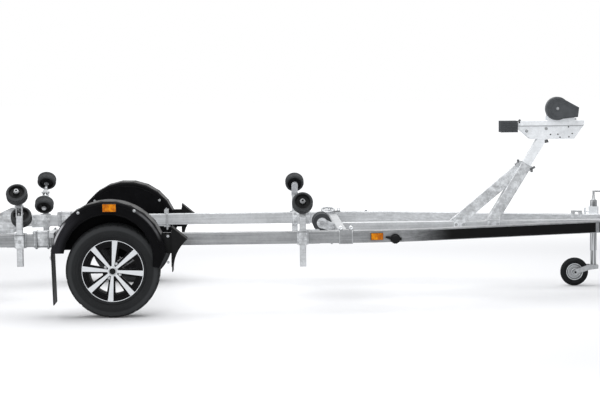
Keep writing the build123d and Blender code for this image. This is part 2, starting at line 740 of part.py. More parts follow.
# ---- winch post: leg and brace welded into one, telescopic mast clamped in the leg ----
along = Vector(cos(radians(mast_deg)), 0, sin(radians(mast_deg)))
across = Vector(-along.Z, 0, along.X)
collar_at = Vector(mast_collar_x, 0, mast_collar_z)
leg_run = (mast_collar_z - keel_top + 60) / along.Z
leg_y = mast_size + 2 * leg_wall + 4
stand = tube(collar_at - along * leg_run, collar_at, leg_y, leg_size, leg_wall)
slope = Vector(cos(radians(brace_deg)), 0, sin(radians(brace_deg)))
brace_low = Vector(brace_foot_x, 0, brace_foot_z) - slope * brace_back
brace = bar(brace_low, brace_low + slope * brace_run, brace_w, leg_size)
brace -= bar(collar_at - along * leg_run, collar_at + along * 90, leg_y * 2, leg_size)
brace = max(brace.solids(), key=lambda part: part.volume)
brace -= bar(brace_low - slope, brace_low + slope * (brace_run + leg_size),
             brace_w - 2 * leg_wall, leg_size - 2 * leg_wall)
stand += brace
stand -= block(brace_foot_x - leg_run, winch_x, -leg_y, leg_y, 0, keel_top)
leg_foot_x = mast_collar_x - (mast_collar_z - keel_top) / tan(radians(mast_deg))
brace_keel_x = brace_foot_x - (brace_foot_z - keel_top) / tan(radians(brace_deg))
for x in (brace_keel_x + 10, leg_foot_x + 8):
    for side in (-1, 1):
        y0, y1 = side * keel_size / 2, side * (keel_size / 2 + foot_plate)
        stand += block(x - foot_w / 2, x + foot_w / 2, y0, y1, keel_top - foot_drop, keel_top + foot_rise)
    stand += block(x - foot_w / 2, x + foot_w / 2, -keel_size / 2 - foot_plate, keel_size / 2 + foot_plate,
                   keel_top, keel_top + foot_plate)
for side in (-1, 1):
    at = collar_at - along * 22
    stand += rod(at + across * side * mast_size / 2, at + across * side * (leg_size / 2 + 26), 6)
save("winch_stand", solid(stand))
mast_low = collar_at - along * mast_overlap
mast_high = collar_at + along * mast_reach
mast = bar(mast_low, mast_high, mast_size, mast_size)
mast -= bar(mast_low - along, mast_high + along, mast_size - 2 * mast_wall, mast_size - 2 * mast_wall)
mast -= block(brace_foot_x, winch_x + mast_reach, -leg_y, leg_y, head_top - head_wall, head_top + mast_reach)
save("winch_mast", solid(mast))

# ---- winch channel on the mast, with the bow stop on its rear end ----
cheek_in = mast_size / 2
cheek = [(head_rear_x, head_fold - 30), (head_rear_x, head_top - 1), (head_front_x, head_top - 1),
         (head_front_x, head_fold), (head_front_x - 66, head_bottom), (head_rear_x + 72, head_bottom)]
channel = outline(cheek, head_wall, -cheek_in) + outline(cheek, head_wall, cheek_in + head_wall)
tray = block(head_rear_x, head_front_x, -head_half, head_half, head_fold, head_top)
tray -= block(head_rear_x - 1, head_front_x + 1, -head_half + head_wall, head_half - head_wall,
              head_fold - 1, head_top - head_wall)
arm_z = head_fold - 28
stop_front_x = head_rear_x - 18
channel += block(stop_front_x, head_rear_x + 70, -cheek_in, cheek_in, arm_z, arm_z + 44)
channel += tray
for back, drop in head_holes:
    x, z = head_front_x - back, head_top - drop
    channel -= rod((x, -head_half - 1, z), (x, head_half + 1, z), head_hole_r)
save("winch_channel", solid(channel))
stop_x = stop_front_x - stop_length
stop_z = arm_z + 22
stop = block(stop_x, stop_front_x, -stop_width / 2, stop_width / 2,
             stop_z - stop_height / 2, stop_z + stop_height / 2)
notch_y = stop_width / 2 - 8
notch = make_face(Plane.XY.offset(stop_z - stop_height) * Polyline(
    (stop_x - 1, -notch_y), (stop_x + stop_notch, 0), (stop_x - 1, notch_y), close=True))
stop -= extrude(notch, stop_height * 2, dir=(0, 0, 1))
save("bow_stop", solid(stop))

# ---- hand winch: bent frame, drum with its strap, gear cover and crank ----
foot_rear, foot_front = winch_x - frame_back, winch_x + frame_front
ear_z = winch_z + frame_ear_rise
frame_pts = [(foot_rear, head_top), (foot_front, head_top),
             (foot_front - frame_draw, winch_z - frame_shoulder), (winch_x + frame_ear, ear_z),
             (winch_x - frame_ear, ear_z), (foot_rear + frame_draw, winch_z)]
frame = outline(frame_pts, winch_plate, -winch_half + winch_plate)
frame += outline(frame_pts, winch_plate, winch_half)
frame += block(foot_rear, foot_front, -winch_half, winch_half, head_top, head_top + winch_plate)
frame -= rod((winch_x, -100, winch_z), (winch_x, 100, winch_z), shaft_r + pin_clearance)
save("winch_frame", solid(frame))
drum_half = winch_half - winch_plate - 2
drum = rod((winch_x, -winch_half, winch_z), (winch_x, winch_half, winch_z), shaft_r)
drum += rod((winch_x, -drum_half, winch_z), (winch_x, drum_half, winch_z), drum_r)
for side in (-1, 1):
    drum += rod((winch_x, side * (drum_half - drum_flange), winch_z), (winch_x, side * drum_half, winch_z),
                drum_flange_r)
drum += rod((winch_x, -drum_half + 6, winch_z), (winch_x, drum_half - 6, winch_z), strap_r)
save("winch_drum", solid(drum))
y0 = -winch_half
cover = rod((winch_x, y0, winch_z), (winch_x, y0 - cover_depth, winch_z), cover_r)
cover_pts = [(winch_x + 22, winch_z + cover_r - 4), (winch_x + cover_nose_x, winch_z + 6),
             (winch_x + cover_nose_x - 8, winch_z - 60), (winch_x - 20, winch_z - cover_r + 4),
             (winch_x, winch_z)]
cover += outline(cover_pts, cover_depth, y0)
cover = fillet(cover.faces().sort_by(Axis.Y)[0].edges(), cover_round)
save("winch_cover", solid(cover))
crank_x, crank_z = winch_x + crank_ahead, winch_z - crank_below
grip_x, grip_z = winch_x - grip_back, head_fold - 20
crank_y = winch_half + 28
handle = rod((crank_x, winch_half, crank_z), (crank_x, crank_y + 6, crank_z), crank_w / 2 - 3)
handle += bar((crank_x, crank_y, crank_z), (grip_x, crank_y, grip_z), crank_flat, crank_w)
handle += rod((grip_x, crank_y - crank_flat / 2, grip_z), (grip_x, winch_half + grip_length, grip_z), grip_r)
save("winch_handle", solid(handle))

# ---- jockey wheel on the left drawbar beam ----
along_bar = Vector(cos(lean), -sin(lean), 0)
clamp_at = jockey_tube_r + clamp_grip
jockey_y = bend_end_y + (beam_w / 2 + clamp_at - (jockey_x - bend_end_x) * sin(lean)) / cos(lean)
foot = Vector(jockey_x, jockey_y, 0)


def up_to(z):
    """The point of the jockey wheel's own axis at a height."""
    return foot + Vector(0, 0, z)


clamp_low = jockey_tube_top - clamp_block_h
jaw = Plane(origin=up_to(0), x_dir=along_bar, z_dir=(0, 0, 1)).location
clamp = jaw * block(-clamp_at, clamp_at, -clamp_at, clamp_at, clamp_low, jockey_tube_top - 2)
clamp += jaw * block(-clamp_block / 2, clamp_block / 2, -clamp_at, 4 - clamp_at - 0.5,
                     beam_bottom + 6, clamp_low + 10)
clamp -= rod(up_to(clamp_low - 400), up_to(1000), jockey_tube_r)
pin_z = clamp_low + clamp_block_h / 2
tee_x = -clamp_at - tee_reach
clamp += jaw * rod((-jockey_tube_r - 4, 0, pin_z), (tee_x, 0, pin_z), tee_r - 1)
clamp += jaw * rod((tee_x, 0, pin_z - tee_half), (tee_x, 0, pin_z + tee_half), tee_r)
save("jockey_clamp", solid(clamp))
leg_bore = jockey_leg_r + pin_clearance
crank = ring(up_to(jockey_tube_foot), up_to(jockey_tube_top), jockey_tube_r, leg_bore)
crank += rod(up_to(jockey_tube_top), up_to(jockey_tube_top + cap_rise), jockey_tube_r)
crank_top = up_to(jockey_tube_top + spindle_rise)
crank += rod(up_to(jockey_tube_top + cap_rise), crank_top, spindle_r)
crank += rod(crank_top - Vector(spindle_r, 0, 0), crank_top + Vector(crank_reach, 0, 0), crank_r)
knob = crank_top + Vector(crank_reach - crank_r, 0, 0)
crank += rod(knob, knob + Vector(0, 0, knob_height), knob_r)
save("jockey_tube", solid(crank))
leg = ring(up_to(jockey_leg_foot), up_to(jockey_leg_top), jockey_leg_r, jockey_leg_r - jockey_leg_wall)
leg += rod(up_to(jockey_leg_foot), up_to(jockey_leg_foot + 8), jockey_leg_r)
leg += rod(up_to(jockey_leg_foot - fork_crown), up_to(jockey_leg_foot), 10)
save("jockey_leg", solid(leg))
hub = Vector(jockey_x - jockey_trail, jockey_y, jockey_wheel_r)
crown_top = jockey_leg_foot - 0.3
crown_low = jockey_leg_foot - fork_crown
cheek_y = jockey_tyre_w / 2 + side_gap
fork = block(jockey_x - 26, jockey_x + 30, jockey_y - cheek_y - 5, jockey_y + cheek_y + 5,
             crown_low, crown_top)
arm_pts = [(jockey_x + 30, crown_top), (jockey_x + 30, crown_low), (jockey_x - 40, crown_low - 10),
           (hub.X, hub.Z - 18), (hub.X - 18, hub.Z), (hub.X, hub.Z + 18), (jockey_x - 42, crown_top)]
for side in (-1, 1):
    edge = jockey_y - cheek_y if side < 0 else jockey_y + cheek_y + 5
    fork += outline(arm_pts, 5, edge)
fork += rod(hub - Vector(0, cheek_y + 9, 0), hub + Vector(0, cheek_y + 9, 0), jockey_axle_r)
fork -= rod(up_to(0), up_to(crown_top), 10 + pin_clearance)
save("jockey_fork", solid(fork))
half = jockey_tyre_w / 2
spin = Axis(hub, (0, 1, 0))
flat = Plane(origin=hub, x_dir=(0, 1, 0), z_dir=(1, 0, 0))
tyre_face = make_face(flat * Polyline(
    (-half + 8, jockey_rim_r), (half - 8, jockey_rim_r), (half, jockey_rim_r + 12),
    (half, jockey_wheel_r - 18), (half - 12, jockey_wheel_r - 3), (0, jockey_wheel_r),
    (-half + 12, jockey_wheel_r - 3),
    (-half, jockey_wheel_r - 18), (-half, jockey_rim_r + 12), close=True))
save("jockey_tyre", solid(revolve(tyre_face, spin)))
bore = jockey_axle_r + pin_clearance
rim_face = make_face(flat * Polyline(
    (-half + 8, jockey_rim_r), (half - 8, jockey_rim_r), (half - 8, jockey_rim_r - 6), (6, jockey_rim_r - 14),
    (6, 24), (half - 2, 20), (half - 2, bore), (-half + 2, bore), (-half + 2, 20),
    (-6, 24), (-6, jockey_rim_r - 14), (-half + 8, jockey_rim_r - 6), close=True))
save("jockey_rim", solid(revolve(rim_face, spin)))

# ---- nose: gusset plates over the converging beams, coupling on the keel beam ----
plates = []
tail_x = nose_x - gusset_length
tip_y = nose_y + beam_w / 2
tail_y = tip_y + gusset_length * tan(lean) - gusset_inset
gusset = [(tail_x, -tail_y), (nose_x, -tip_y), (nose_x, tip_y), (tail_x, tail_y)]
for z in (beam_top, beam_bottom - nose_plate):
    plate = make_face(Plane.XY.offset(z) * Polyline(*gusset, close=True))
    plates.append(solid(extrude(plate, nose_plate, dir=(0, 0, 1))))
save("nose_plates", *plates)
half = coupling_width / 2
low = keel_top - keel_size + 5
back_x = keel_nose_x - coupling_overlap
head = block(back_x, ball_x, -half, half, low, keel_top + coupling_wall)
head -= block(back_x - 1, keel_nose_x, -keel_size / 2, keel_size / 2, low - 1, keel_top)
head -= block(keel_nose_x - 1, ball_x - socket_r + 4, -half + coupling_wall, half - coupling_wall,
              low - 1, keel_top)
head += rod((ball_x, 0, low), (ball_x, 0, low + socket_depth), socket_r)
dome = Pos(ball_x, 0, low + socket_depth) * Sphere(socket_r)
head += dome - block(back_x, ball_x + socket_r + 1, -socket_r - 1, socket_r + 1, 0, low)
head -= rod((ball_x, 0, low - 1), (ball_x, 0, low + socket_depth), ball_r + ball_play)
head -= Pos(ball_x, 0, low + socket_depth) * Sphere(ball_r + ball_play)
save("coupling_head", solid(head))
lever_x = ball_x - socket_r - 30
lever = block(lever_x - 22, lever_x + 22, -10, 10, keel_top + coupling_wall, keel_top + 40)
lever_end = (lever_x + lever_h - lever_length, 0, keel_top + 62)
lever += bar((lever_x + lever_h, 0, keel_top + 34), lever_end, lever_w, lever_h)
save("coupling_handle", solid(lever))

# ---- tail: light bar on the beams' ends with two lamp clusters and a bare plate ----
bar_low = beam_mid_z - light_bar_h / 2
rear_bar = block(light_bar_x - light_bar_thick, light_bar_x, -light_bar_half, light_bar_half,
                 bar_low, bar_low + light_bar_h)
for name, s in sides:
    end_x = beam_tail_x - end_plate
    rear_bar += block(light_bar_x, end_x, s * beam_y - bar_arm_w / 2, s * beam_y + bar_arm_w / 2,
                      beam_mid_z - bar_arm_h / 2, beam_mid_z + bar_arm_h / 2)
    rear_bar += block(end_x, beam_tail_x, s * beam_in, s * beam_out, beam_bottom, beam_top)
save("light_bar", solid(rear_bar))
lamp_x = light_bar_x - light_bar_thick
lamps = [
    solid(block(lamp_x - lamp_d, lamp_x, s * (light_bar_half - lamp_w), s * light_bar_half,
                beam_mid_z - lamp_h / 2, beam_mid_z + lamp_h / 2))
    for name, s in sides
]
save("tail_lamps", *lamps)
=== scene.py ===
from math import atan2, cos, hypot, pi, radians, sin, tan

import bmesh
import bpy
from mathutils import Matrix, Vector


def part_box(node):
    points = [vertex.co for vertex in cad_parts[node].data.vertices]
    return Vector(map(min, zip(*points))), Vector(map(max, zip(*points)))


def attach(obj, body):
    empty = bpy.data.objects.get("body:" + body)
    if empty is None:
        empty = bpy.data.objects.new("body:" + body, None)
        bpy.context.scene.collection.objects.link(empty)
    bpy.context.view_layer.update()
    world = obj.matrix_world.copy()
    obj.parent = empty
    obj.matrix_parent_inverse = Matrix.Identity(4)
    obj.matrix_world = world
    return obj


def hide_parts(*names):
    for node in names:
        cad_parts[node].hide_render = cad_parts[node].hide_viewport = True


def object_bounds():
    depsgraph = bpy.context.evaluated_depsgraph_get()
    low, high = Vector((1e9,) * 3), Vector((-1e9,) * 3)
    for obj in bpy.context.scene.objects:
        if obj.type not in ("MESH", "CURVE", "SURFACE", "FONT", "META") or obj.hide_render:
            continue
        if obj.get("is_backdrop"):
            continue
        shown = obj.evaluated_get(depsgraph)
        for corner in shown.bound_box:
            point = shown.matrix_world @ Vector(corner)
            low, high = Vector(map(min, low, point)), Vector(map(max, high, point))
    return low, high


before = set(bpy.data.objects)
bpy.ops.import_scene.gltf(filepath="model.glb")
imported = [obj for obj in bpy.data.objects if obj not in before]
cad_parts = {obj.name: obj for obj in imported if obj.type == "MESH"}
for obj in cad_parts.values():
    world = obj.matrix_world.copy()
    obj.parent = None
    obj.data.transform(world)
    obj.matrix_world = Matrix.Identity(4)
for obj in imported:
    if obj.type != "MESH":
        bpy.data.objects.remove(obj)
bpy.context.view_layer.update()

# ---- chassis: straight side beams, bent drawbar beams, cross members and keel beam ----
# Rolled box sections, welded or sleeved together and dipped in molten zinc as finished parts.
# The zinc cools to a dull grey skin of small crystals, with paler runs and cloudy patches.


class Wire:
    """A socket in a finish, so that its sums can be written as plain Python."""

    def __init__(self, finish, socket):
        self.finish = finish
        self.socket = socket

    def sum_with(self, operation, first, second):
        return self.finish.node("ShaderNodeMath", {"operation": operation}, {0: first, 1: second})

    def __add__(self, other):
        return self.sum_with("ADD", self, other)

    def __radd__(self, other):
        return self.sum_with("ADD", other, self)

    def __sub__(self, other):
        return self.sum_with("SUBTRACT", self, other)

    def __rsub__(self, other):
        return self.sum_with("SUBTRACT", other, self)

    def __mul__(self, other):
        return self.sum_with("MULTIPLY", self, other)

    def __truediv__(self, other):
        return self.sum_with("DIVIDE", self, other)

    def __gt__(self, other):
        return self.sum_with("GREATER_THAN", self, other)

    def __lt__(self, other):
        return self.sum_with("LESS_THAN", self, other)

    def both(self, other):
        return self.sum_with("MINIMUM", self, other)

    def either(self, other):
        return self.sum_with("MAXIMUM", self, other)

    def of(self, operation, other=0.0):
        return self.sum_with(operation, self, other)

    def rise(self, low, high):
        """0 up to low, 1 from high, smooth between; falls instead where low is the larger."""
        return self.finish.node(
            "ShaderNodeMapRange",
            {"interpolation_type": "SMOOTHSTEP"},
            {"Value": self, "From Min": low, "From Max": high},
        )

    def band(self, start, full, fade, end):
        """1 between full and fade, 0 outside start and end, smooth between."""
        return self.rise(start, full) * self.rise(end, fade)

    def wave(self, pitch):
        """Swings from -1 to 1 and back once in every pitch."""
        return (self * 2 * pi / pitch).of("SINE")


class Finish:
    """The nodes of one material, or of the sky."""

    def __init__(self, name, sky=False):
        self.owner = bpy.data.worlds.new(name) if sky else bpy.data.materials.new(name)
        self.owner.use_nodes = True
        self.tree = self.owner.node_tree
        self.tree.nodes.clear()
        self.end = self.tree.nodes.new("ShaderNodeOutputWorld" if sky else "ShaderNodeOutputMaterial")

    def node(self, kind, settings=None, sockets=None, output=0):
        """Adds a node; its settings are set first, then each socket gets a value or a wire."""
        node = self.tree.nodes.new(kind)
        for key, value in (settings or {}).items():
            setattr(node, key, value)
        for key, value in (sockets or {}).items():
            if isinstance(value, Wire):
                self.tree.links.new(value.socket, node.inputs[key])
            else:
                node.inputs[key].default_value = value
        return Wire(self, node.outputs[output])

    def place(self):
        return self.node("ShaderNodeTexCoord", output="Object")

    def axes(self):
        place = self.place()
        return [self.node("ShaderNodeSeparateXYZ", None, {0: place}, axis) for axis in "XYZ"]

    def stretched(self, scale):
        return self.node("ShaderNodeMapping", None, {"Vector": self.place(), "Scale": scale})

    def noise(self, scale, detail=3.0, rough=0.55, vector=None):
        sockets = {"Vector": vector or self.place(), "Scale": scale, "Detail": detail, "Roughness": rough}
        return self.node("ShaderNodeTexNoise", None, sockets)

    def cells(self, size):
        """A random level from 0 to 1 on each cell of about that size."""
        tint = self.node("ShaderNodeTexVoronoi", None, {"Vector": self.place(), "Scale": 1 / size}, "Color")
        return self.node("ShaderNodeSeparateColor", None, {0: tint})

    def blend(self, share, first, second):
        """A colour: the first where share is 0, the second where it is 1."""
        sockets = {0: share, 6: first, 7: second}
        return self.node("ShaderNodeMix", {"data_type": "RGBA"}, sockets, 2)

    def skin(self, height_m, height, surface):
        """Ends the finish with a surface that is raised by height times height_m."""
        if height is not None:
            surface["Normal"] = self.node(
                "ShaderNodeBump", None, {"Strength": 1.0, "Distance": height_m, "Height": height}
            )
        return self.close(self.node("ShaderNodeBsdfPrincipled", None, surface))

    def close(self, shader):
        """Ends the finish with a shader."""
        self.tree.links.new(shader.socket, self.end.inputs["Surface"])
        return self.owner


def grey(level, cool=0.025):
    """A grey of some level; cool is how far it leans to blue."""
    return (level * (1 - cool), level, level * (1 + cool), 1)


def zinc_level(f, spangle, cloud, streak):
    """How bright the zinc is, 0 to 1: crystals, cloudy patches, runs along the bar, fine grain."""
    crystal = f.cells(spangle)
    patch = f.noise(cloud, 5.0, 0.62).rise(0.36, 0.66)
    runs = f.noise(1.0, 4.0, 0.6, f.stretched((1.6, 90, 90))).rise(0.3, 0.7)
    grain = f.noise(190.0, 2.0)
    still = (0.82 - streak) / 2
    level = crystal * still * 0.8 + patch * still * 1.2 + runs * streak + grain * 0.18
    return level, grain * 0.7 + crystal * 0.3


def galvanised(name, low, high, spangle=0.011, cloud=5.0, streak=0.22):
    """Zinc skin between two greys."""
    f = Finish(name)
    level, height = zinc_level(f, spangle, cloud, streak)
    tone = f.blend(level, grey(low), grey(high))
    return f.skin(0.0006, height, {"Base Color": tone, "Metallic": 0.62, "Roughness": 0.38 + height * 0.2})


def dress(nodes, material):
    """Gives CAD nodes their finish."""
    for name in nodes:
        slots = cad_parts[name].data.materials
        slots.clear()
        slots.append(material)


# one zinc given twice: the near side's darker copy is painted shade, the paler copy on the far side and the
# middle is painted light
near_shaded_zinc = galvanised("near_beam_shaded_zinc", 0.17, 0.42, streak=0.46)
far_lit_zinc = galvanised("far_beam_lit_zinc", 0.31, 0.61, streak=0.36)
rough_zinc = galvanised("mottled_zinc", 0.20, 0.84, spangle=0.014, cloud=18.0)
dress(["side_beam_right"], near_shaded_zinc)
dress(["side_beam_left", "keel_beam", "mid_cross_member", "rear_cross_member"], far_lit_zinc)
dress(["mudguard_arms", "nose_plates", "coupling_head", "axle_tube", "light_bar"], far_lit_zinc)
dress(["keel_bracket_mid", "keel_bracket_rear", "axle_arm_right", "axle_arm_left"], rough_zinc)

# ---- beam sleeves: folded channels over the joints of side beams and drawbar beams ----
# Galvanised plate with a weld bead along both ends, clamped by two bolts through the beams.
# The bolts are bright zinc plated and end in ring nuts over flat washers.


def bright_zinc(name, low=0.26, high=0.62):
    """Electroplated steel: clean, bright and slightly blue."""
    f = Finish(name)
    tone = f.blend(f.noise(60.0, 3.0), grey(low), grey(high))
    return f.skin(0.0002, f.noise(400.0), {"Base Color": tone, "Metallic": 0.75, "Roughness": 0.3})


def box_into(bm, low, high):
    """Adds a box given by two corners."""
    low, high = Vector(low), Vector(high)
    size = high - low
    place = Matrix.Translation((low + high) / 2) @ Matrix.Diagonal((abs(size.x), abs(size.y), abs(size.z), 1))
    return bmesh.ops.create_cube(bm, size=1, matrix=place)["verts"]


def rod_into(bm, start, end, radius, sides=20, tip=None):
    """Adds a round bar between two points, or a cone where the tip's radius differs."""
    start, end = Vector(start), Vector(end)
    turn = (end - start).to_track_quat("Z", "Y").to_matrix().to_4x4()
    return bmesh.ops.create_cone(
        bm, cap_ends=True, segments=sides, radius1=radius, radius2=radius if tip is None else tip,
        depth=(end - start).length, matrix=Matrix.Translation((start + end) / 2) @ turn,
    )["verts"]


def bolt_into(bm, foot, way, size=0.010, washer=True, nut=True):
    """Adds a bolt's visible end: washer, six-sided head or nut, and the thread's tip."""
    foot, way = Vector(foot), Vector(way).normalized()
    rise = 0.0
    if washer:
        rod_into(bm, foot, foot + way * size * 0.2, size * 1.25, 20)
        rise = size * 0.2
    rod_into(bm, foot + way * rise, foot + way * (rise + size * 0.75), size * 0.95, 6)
    if nut:
        top = foot + way * (rise + size * 0.75)
        rod_into(bm, top, top + way * size * 0.45, size * 0.5, 12)


def soften(bm, width, segments=2, angle=0.6):
    """Rounds the edges sharper than an angle."""
    edges = [e for e in bm.edges if len(e.link_faces) == 2 and e.calc_face_angle(0) > angle]
    bmesh.ops.bevel(bm, geom=edges, offset=width, offset_type="OFFSET", segments=segments, profile=0.5,
                    affect="EDGES", clamp_overlap=True, material=-1)


def pipe_into(bm, start, heading, radius, moves, sides=12):
    """Adds bent round rod: ("run", length) goes straight on, ("bend", axis, radius, angle) turns."""
    at, heading = Vector(start), Vector(heading).normalized()
    turn = heading.to_track_quat("Z", "Y").to_matrix().to_4x4()
    ring = bmesh.ops.create_circle(
        bm, cap_ends=True, segments=sides, radius=radius, matrix=Matrix.Translation(at) @ turn)["verts"]
    cap = [f for f in ring[0].link_faces if all(v in ring for v in f.verts)]
    bmesh.ops.reverse_faces(bm, faces=cap)
    edges = list({e for v in ring for e in v.link_edges})
    for kind, *how in moves:
        if kind == "run":
            found = bmesh.ops.extrude_edge_only(bm, edges=edges)["geom"]
            ring = [g for g in found if isinstance(g, bmesh.types.BMVert)]
            edges = [g for g in found if isinstance(g, bmesh.types.BMEdge)]
            bmesh.ops.translate(bm, verts=ring, vec=heading * how[0])
            at += heading * how[0]
        else:
            axis, bend_r, angle = Vector(how[0]).normalized(), how[1], how[2]
            middle = at + axis.cross(heading) * bend_r
            steps = max(3, round(angle / radians(15)))
            spin = bmesh.ops.spin(bm, geom=edges, cent=middle, axis=axis, angle=angle, steps=steps)
            edges = [g for g in spin["geom_last"] if isinstance(g, bmesh.types.BMEdge)]
            spun = Matrix.Rotation(angle, 3, axis)
            at, heading = middle + spun @ (at - middle), spun @ heading
    bmesh.ops.edgeloop_fill(bm, edges=edges)
    bmesh.ops.recalc_face_normals(bm, faces=bm.faces)


def make(name, bm, finish, body="root", smooth=None):
    """Turns a bmesh into a piece of the trailer that rides on a body."""
    mesh = bpy.data.meshes.new(name)
    bm.to_mesh(mesh)
    bm.free()
    mesh.materials.append(finish)
    if smooth:
        mesh.shade_smooth()
        mesh.set_sharp_from_angle(angle=radians(smooth))
    piece = bpy.data.objects.new(name, mesh)
    bpy.context.scene.collection.objects.link(piece)
    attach(piece, body)
    return piece


plated = bright_zinc("plated_bolts")
sides = {"right": -1, "left": 1}
tyre_low, tyre_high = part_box("tyre_right")
axle_x = (tyre_low.x + tyre_high.x) / 2
axle_z = (tyre_low.z + tyre_high.z) / 2
beam_low, beam_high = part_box("side_beam_right")
beam_top, beam_bottom = beam_high.z, beam_low.z
beam_y = -(beam_low.y + beam_high.y) / 2
beam_face = -beam_low.y
sleeve_low, sleeve_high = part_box("beam_sleeves")
dress(["beam_sleeves"], near_shaded_zinc)

seams, bolts, eyes = bmesh.new(), bmesh.new(), bmesh.new()
sleeve_bolt_xs = (axle_x + 1.453, axle_x + 1.520)
drain_x = axle_x + 1.395
seam_w, seam_proud = 0.007, 0.0022
washer_r, washer_wall = 0.013, 0.004
eye_r, eye_rod, eye_shift, eye_lift = 0.0090, 0.0042, 0.010, 0.012
half_ring = ("bend", (0, -1, 0), eye_r, pi)
for side in sides.values():
    outer = side * sleeve_high.y
    for x in (sleeve_low.x, sleeve_high.x - seam_w):
        box_into(seams, (x, outer, sleeve_low.z), (x + seam_w, outer + side * seam_proud, sleeve_high.z))
    for x in sleeve_bolt_xs:
        foot = Vector((x, side * beam_y, sleeve_high.z))
        rod_into(bolts, foot, foot + Vector((0, 0, washer_wall)), washer_r, 20)
        eye = foot + Vector((0, side * eye_shift, eye_lift))
        for way in (1, -1):
            pipe_into(eyes, eye + Vector((way * eye_r, 0, 0)), (0, 0, way), eye_rod, [half_ring], 10)
    bolt_into(bolts, (drain_x, side * beam_y, beam_bottom), (0, 0, -1), 0.008, nut=False)
soften(seams, 0.001)
make("sleeve_weld_seams", seams, plated, smooth=40)
make("sleeve_bolts", bolts, plated, smooth=35)
make("sleeve_eye_nuts", eyes, bright_zinc("bright_eye_nuts", 0.72, 1.0), smooth=50)

# ---- axle clamps: U-bolts that hold the axle saddles under the side beams ----
# Bent 11 mm rod over the beams, with nuts below the axle's saddles. All of it is zinc plated.
clamps = bmesh.new()
axle_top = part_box("axle_tube")[1].z
axle_tube_x = axle_x + 0.160
u_rod, u_gap, u_leg, u_bend_r, u_apart, u_above = 0.0055, 0.0315, 0.035, 0.012, 0.110, 0.004
nut_top, strap_wall = axle_top - 0.008, 0.006
strap_half_x, strap_half_y = 0.022, 0.044
for side in sides.values():
    y = side * beam_y
    for x in (axle_tube_x - u_apart, axle_tube_x + u_apart):
        up_run = beam_top - beam_bottom + u_leg + u_above - u_bend_r
        corner = ("bend", (-1, 0, 0), u_bend_r, pi / 2)
        moves = [("run", up_run), corner, ("run", 2 * (u_gap - u_bend_r)), corner, ("run", up_run)]
        pipe_into(clamps, (x, y - u_gap, beam_bottom - u_leg), (0, 0, 1), u_rod, moves)
        for way in (-1, 1):
            bolt_into(clamps, (x, y + way * u_gap, nut_top), (0, 0, -1), 0.0095, nut=False)
    strap_x = axle_tube_x + u_apart
    box_into(clamps, (strap_x - strap_half_x, y - strap_half_y, nut_top - strap_wall),
             (strap_x + strap_half_x, y + strap_half_y, nut_top))
make("axle_u_bolts", clamps, plated, smooth=40)

# ---- road tyres: 185 section radials with three grooves and sipes across the shoulders ----
# Black rubber, moulded: the side wall has a rim guard, a step and fine rings; no lettering.


def rubber(name, low, high, rough, grain=300.0, height=0.0004):
    """Rubber or dull plastic between two dark greys, its sheen held low."""
    f = Finish(name)
    dust = f.noise(9.0, 5.0, 0.65)
    fine = f.noise(grain, 3.0)
    tone = f.blend(dust * 0.6 + fine * 0.4, grey(low, 0.06), grey(high, 0.06))
    surface = {"Base Color": tone, "Roughness": rough + fine * 0.12, "Specular IOR Level": 0.09}
    return f.skin(height, fine, surface)


f = Finish("road_tyre_rubber")
x, y, z = f.axes()
ahead, up = x - axle_x, z - axle_z
from_hub = (ahead * ahead + up * up).of("SQRT")
speck, dust = f.noise(150.0, 4.0), f.noise(9.0, 3.0)
# a paler ring round the side wall's shoulder: painted sheen
shoulder_sheen = from_hub.band(0.252, 0.266, 0.278, 0.292)
tone = f.blend(speck * 0.5 + dust * 0.5, grey(0.010, 0.05), grey(0.028, 0.05))
tone = f.blend(shoulder_sheen * 0.75, tone, grey(0.048, 0.04))
surface = {"Base Color": tone, "Roughness": 0.56 + speck * 0.1, "Specular IOR Level": 0.09}
tread_rubber = f.skin(0.0003, speck, surface)
tyre_mid = -(tyre_low.y + tyre_high.y) / 2
tyre_r = (tyre_high.z - tyre_low.z) / 2
half_tread, half_wall = 0.079, 0.0925
rim_seat, rim_lip = 0.178, 0.195
groove_depth, groove_half = 0.0065, 0.0045
groove_y, groove_bevel = 0.034, 0.001
# half of the tyre's outline from the middle of the tread to the bead: across, below the tread
half_section = [
    (groove_half, groove_depth), (groove_half + groove_bevel, 0.0),
    (groove_y - groove_half - groove_bevel, 0.0004), (groove_y - groove_half, groove_depth),
    (groove_y + groove_half, groove_depth), (groove_y + groove_half + groove_bevel, 0.0008),
    (half_tread - 0.017, 0.0018), (half_tread - 0.003, 0.006), (half_tread + 0.005, 0.015),
    (half_tread + 0.0085, 0.027), (half_wall - 0.0028, 0.031), (half_wall - 0.0006, 0.043),
    (half_wall, 0.055), (half_wall - 0.002, 0.066), (half_wall - 0.0045, 0.0675),
    (half_wall - 0.0085, 0.083), (half_wall - 0.0095, 0.085), (half_wall - 0.0045, 0.089),
    (half_wall - 0.0105, 0.096), (half_wall - 0.020, tyre_r - rim_lip),
    (half_wall - 0.022, tyre_r - rim_seat),
]
tyre_steps, shoulder_w, shoulder_drop, rib_drop, sipe_depth = 120, 0.018, 0.02, 0.003, 0.0045


def lathe_into(bm, outline, centre, axis, steps):
    """Adds a ring whose closed outline of points is spun all the way round an axis."""
    points = [bm.verts.new(point) for point in outline]
    ring = [bm.edges.new(pair) for pair in zip(points, points[1:] + points[:1])]
    bmesh.ops.spin(bm, geom=points + ring, cent=centre, axis=axis, angle=2 * pi, steps=steps, use_merge=True)
    bmesh.ops.remove_doubles(bm, verts=bm.verts, dist=0.00002)


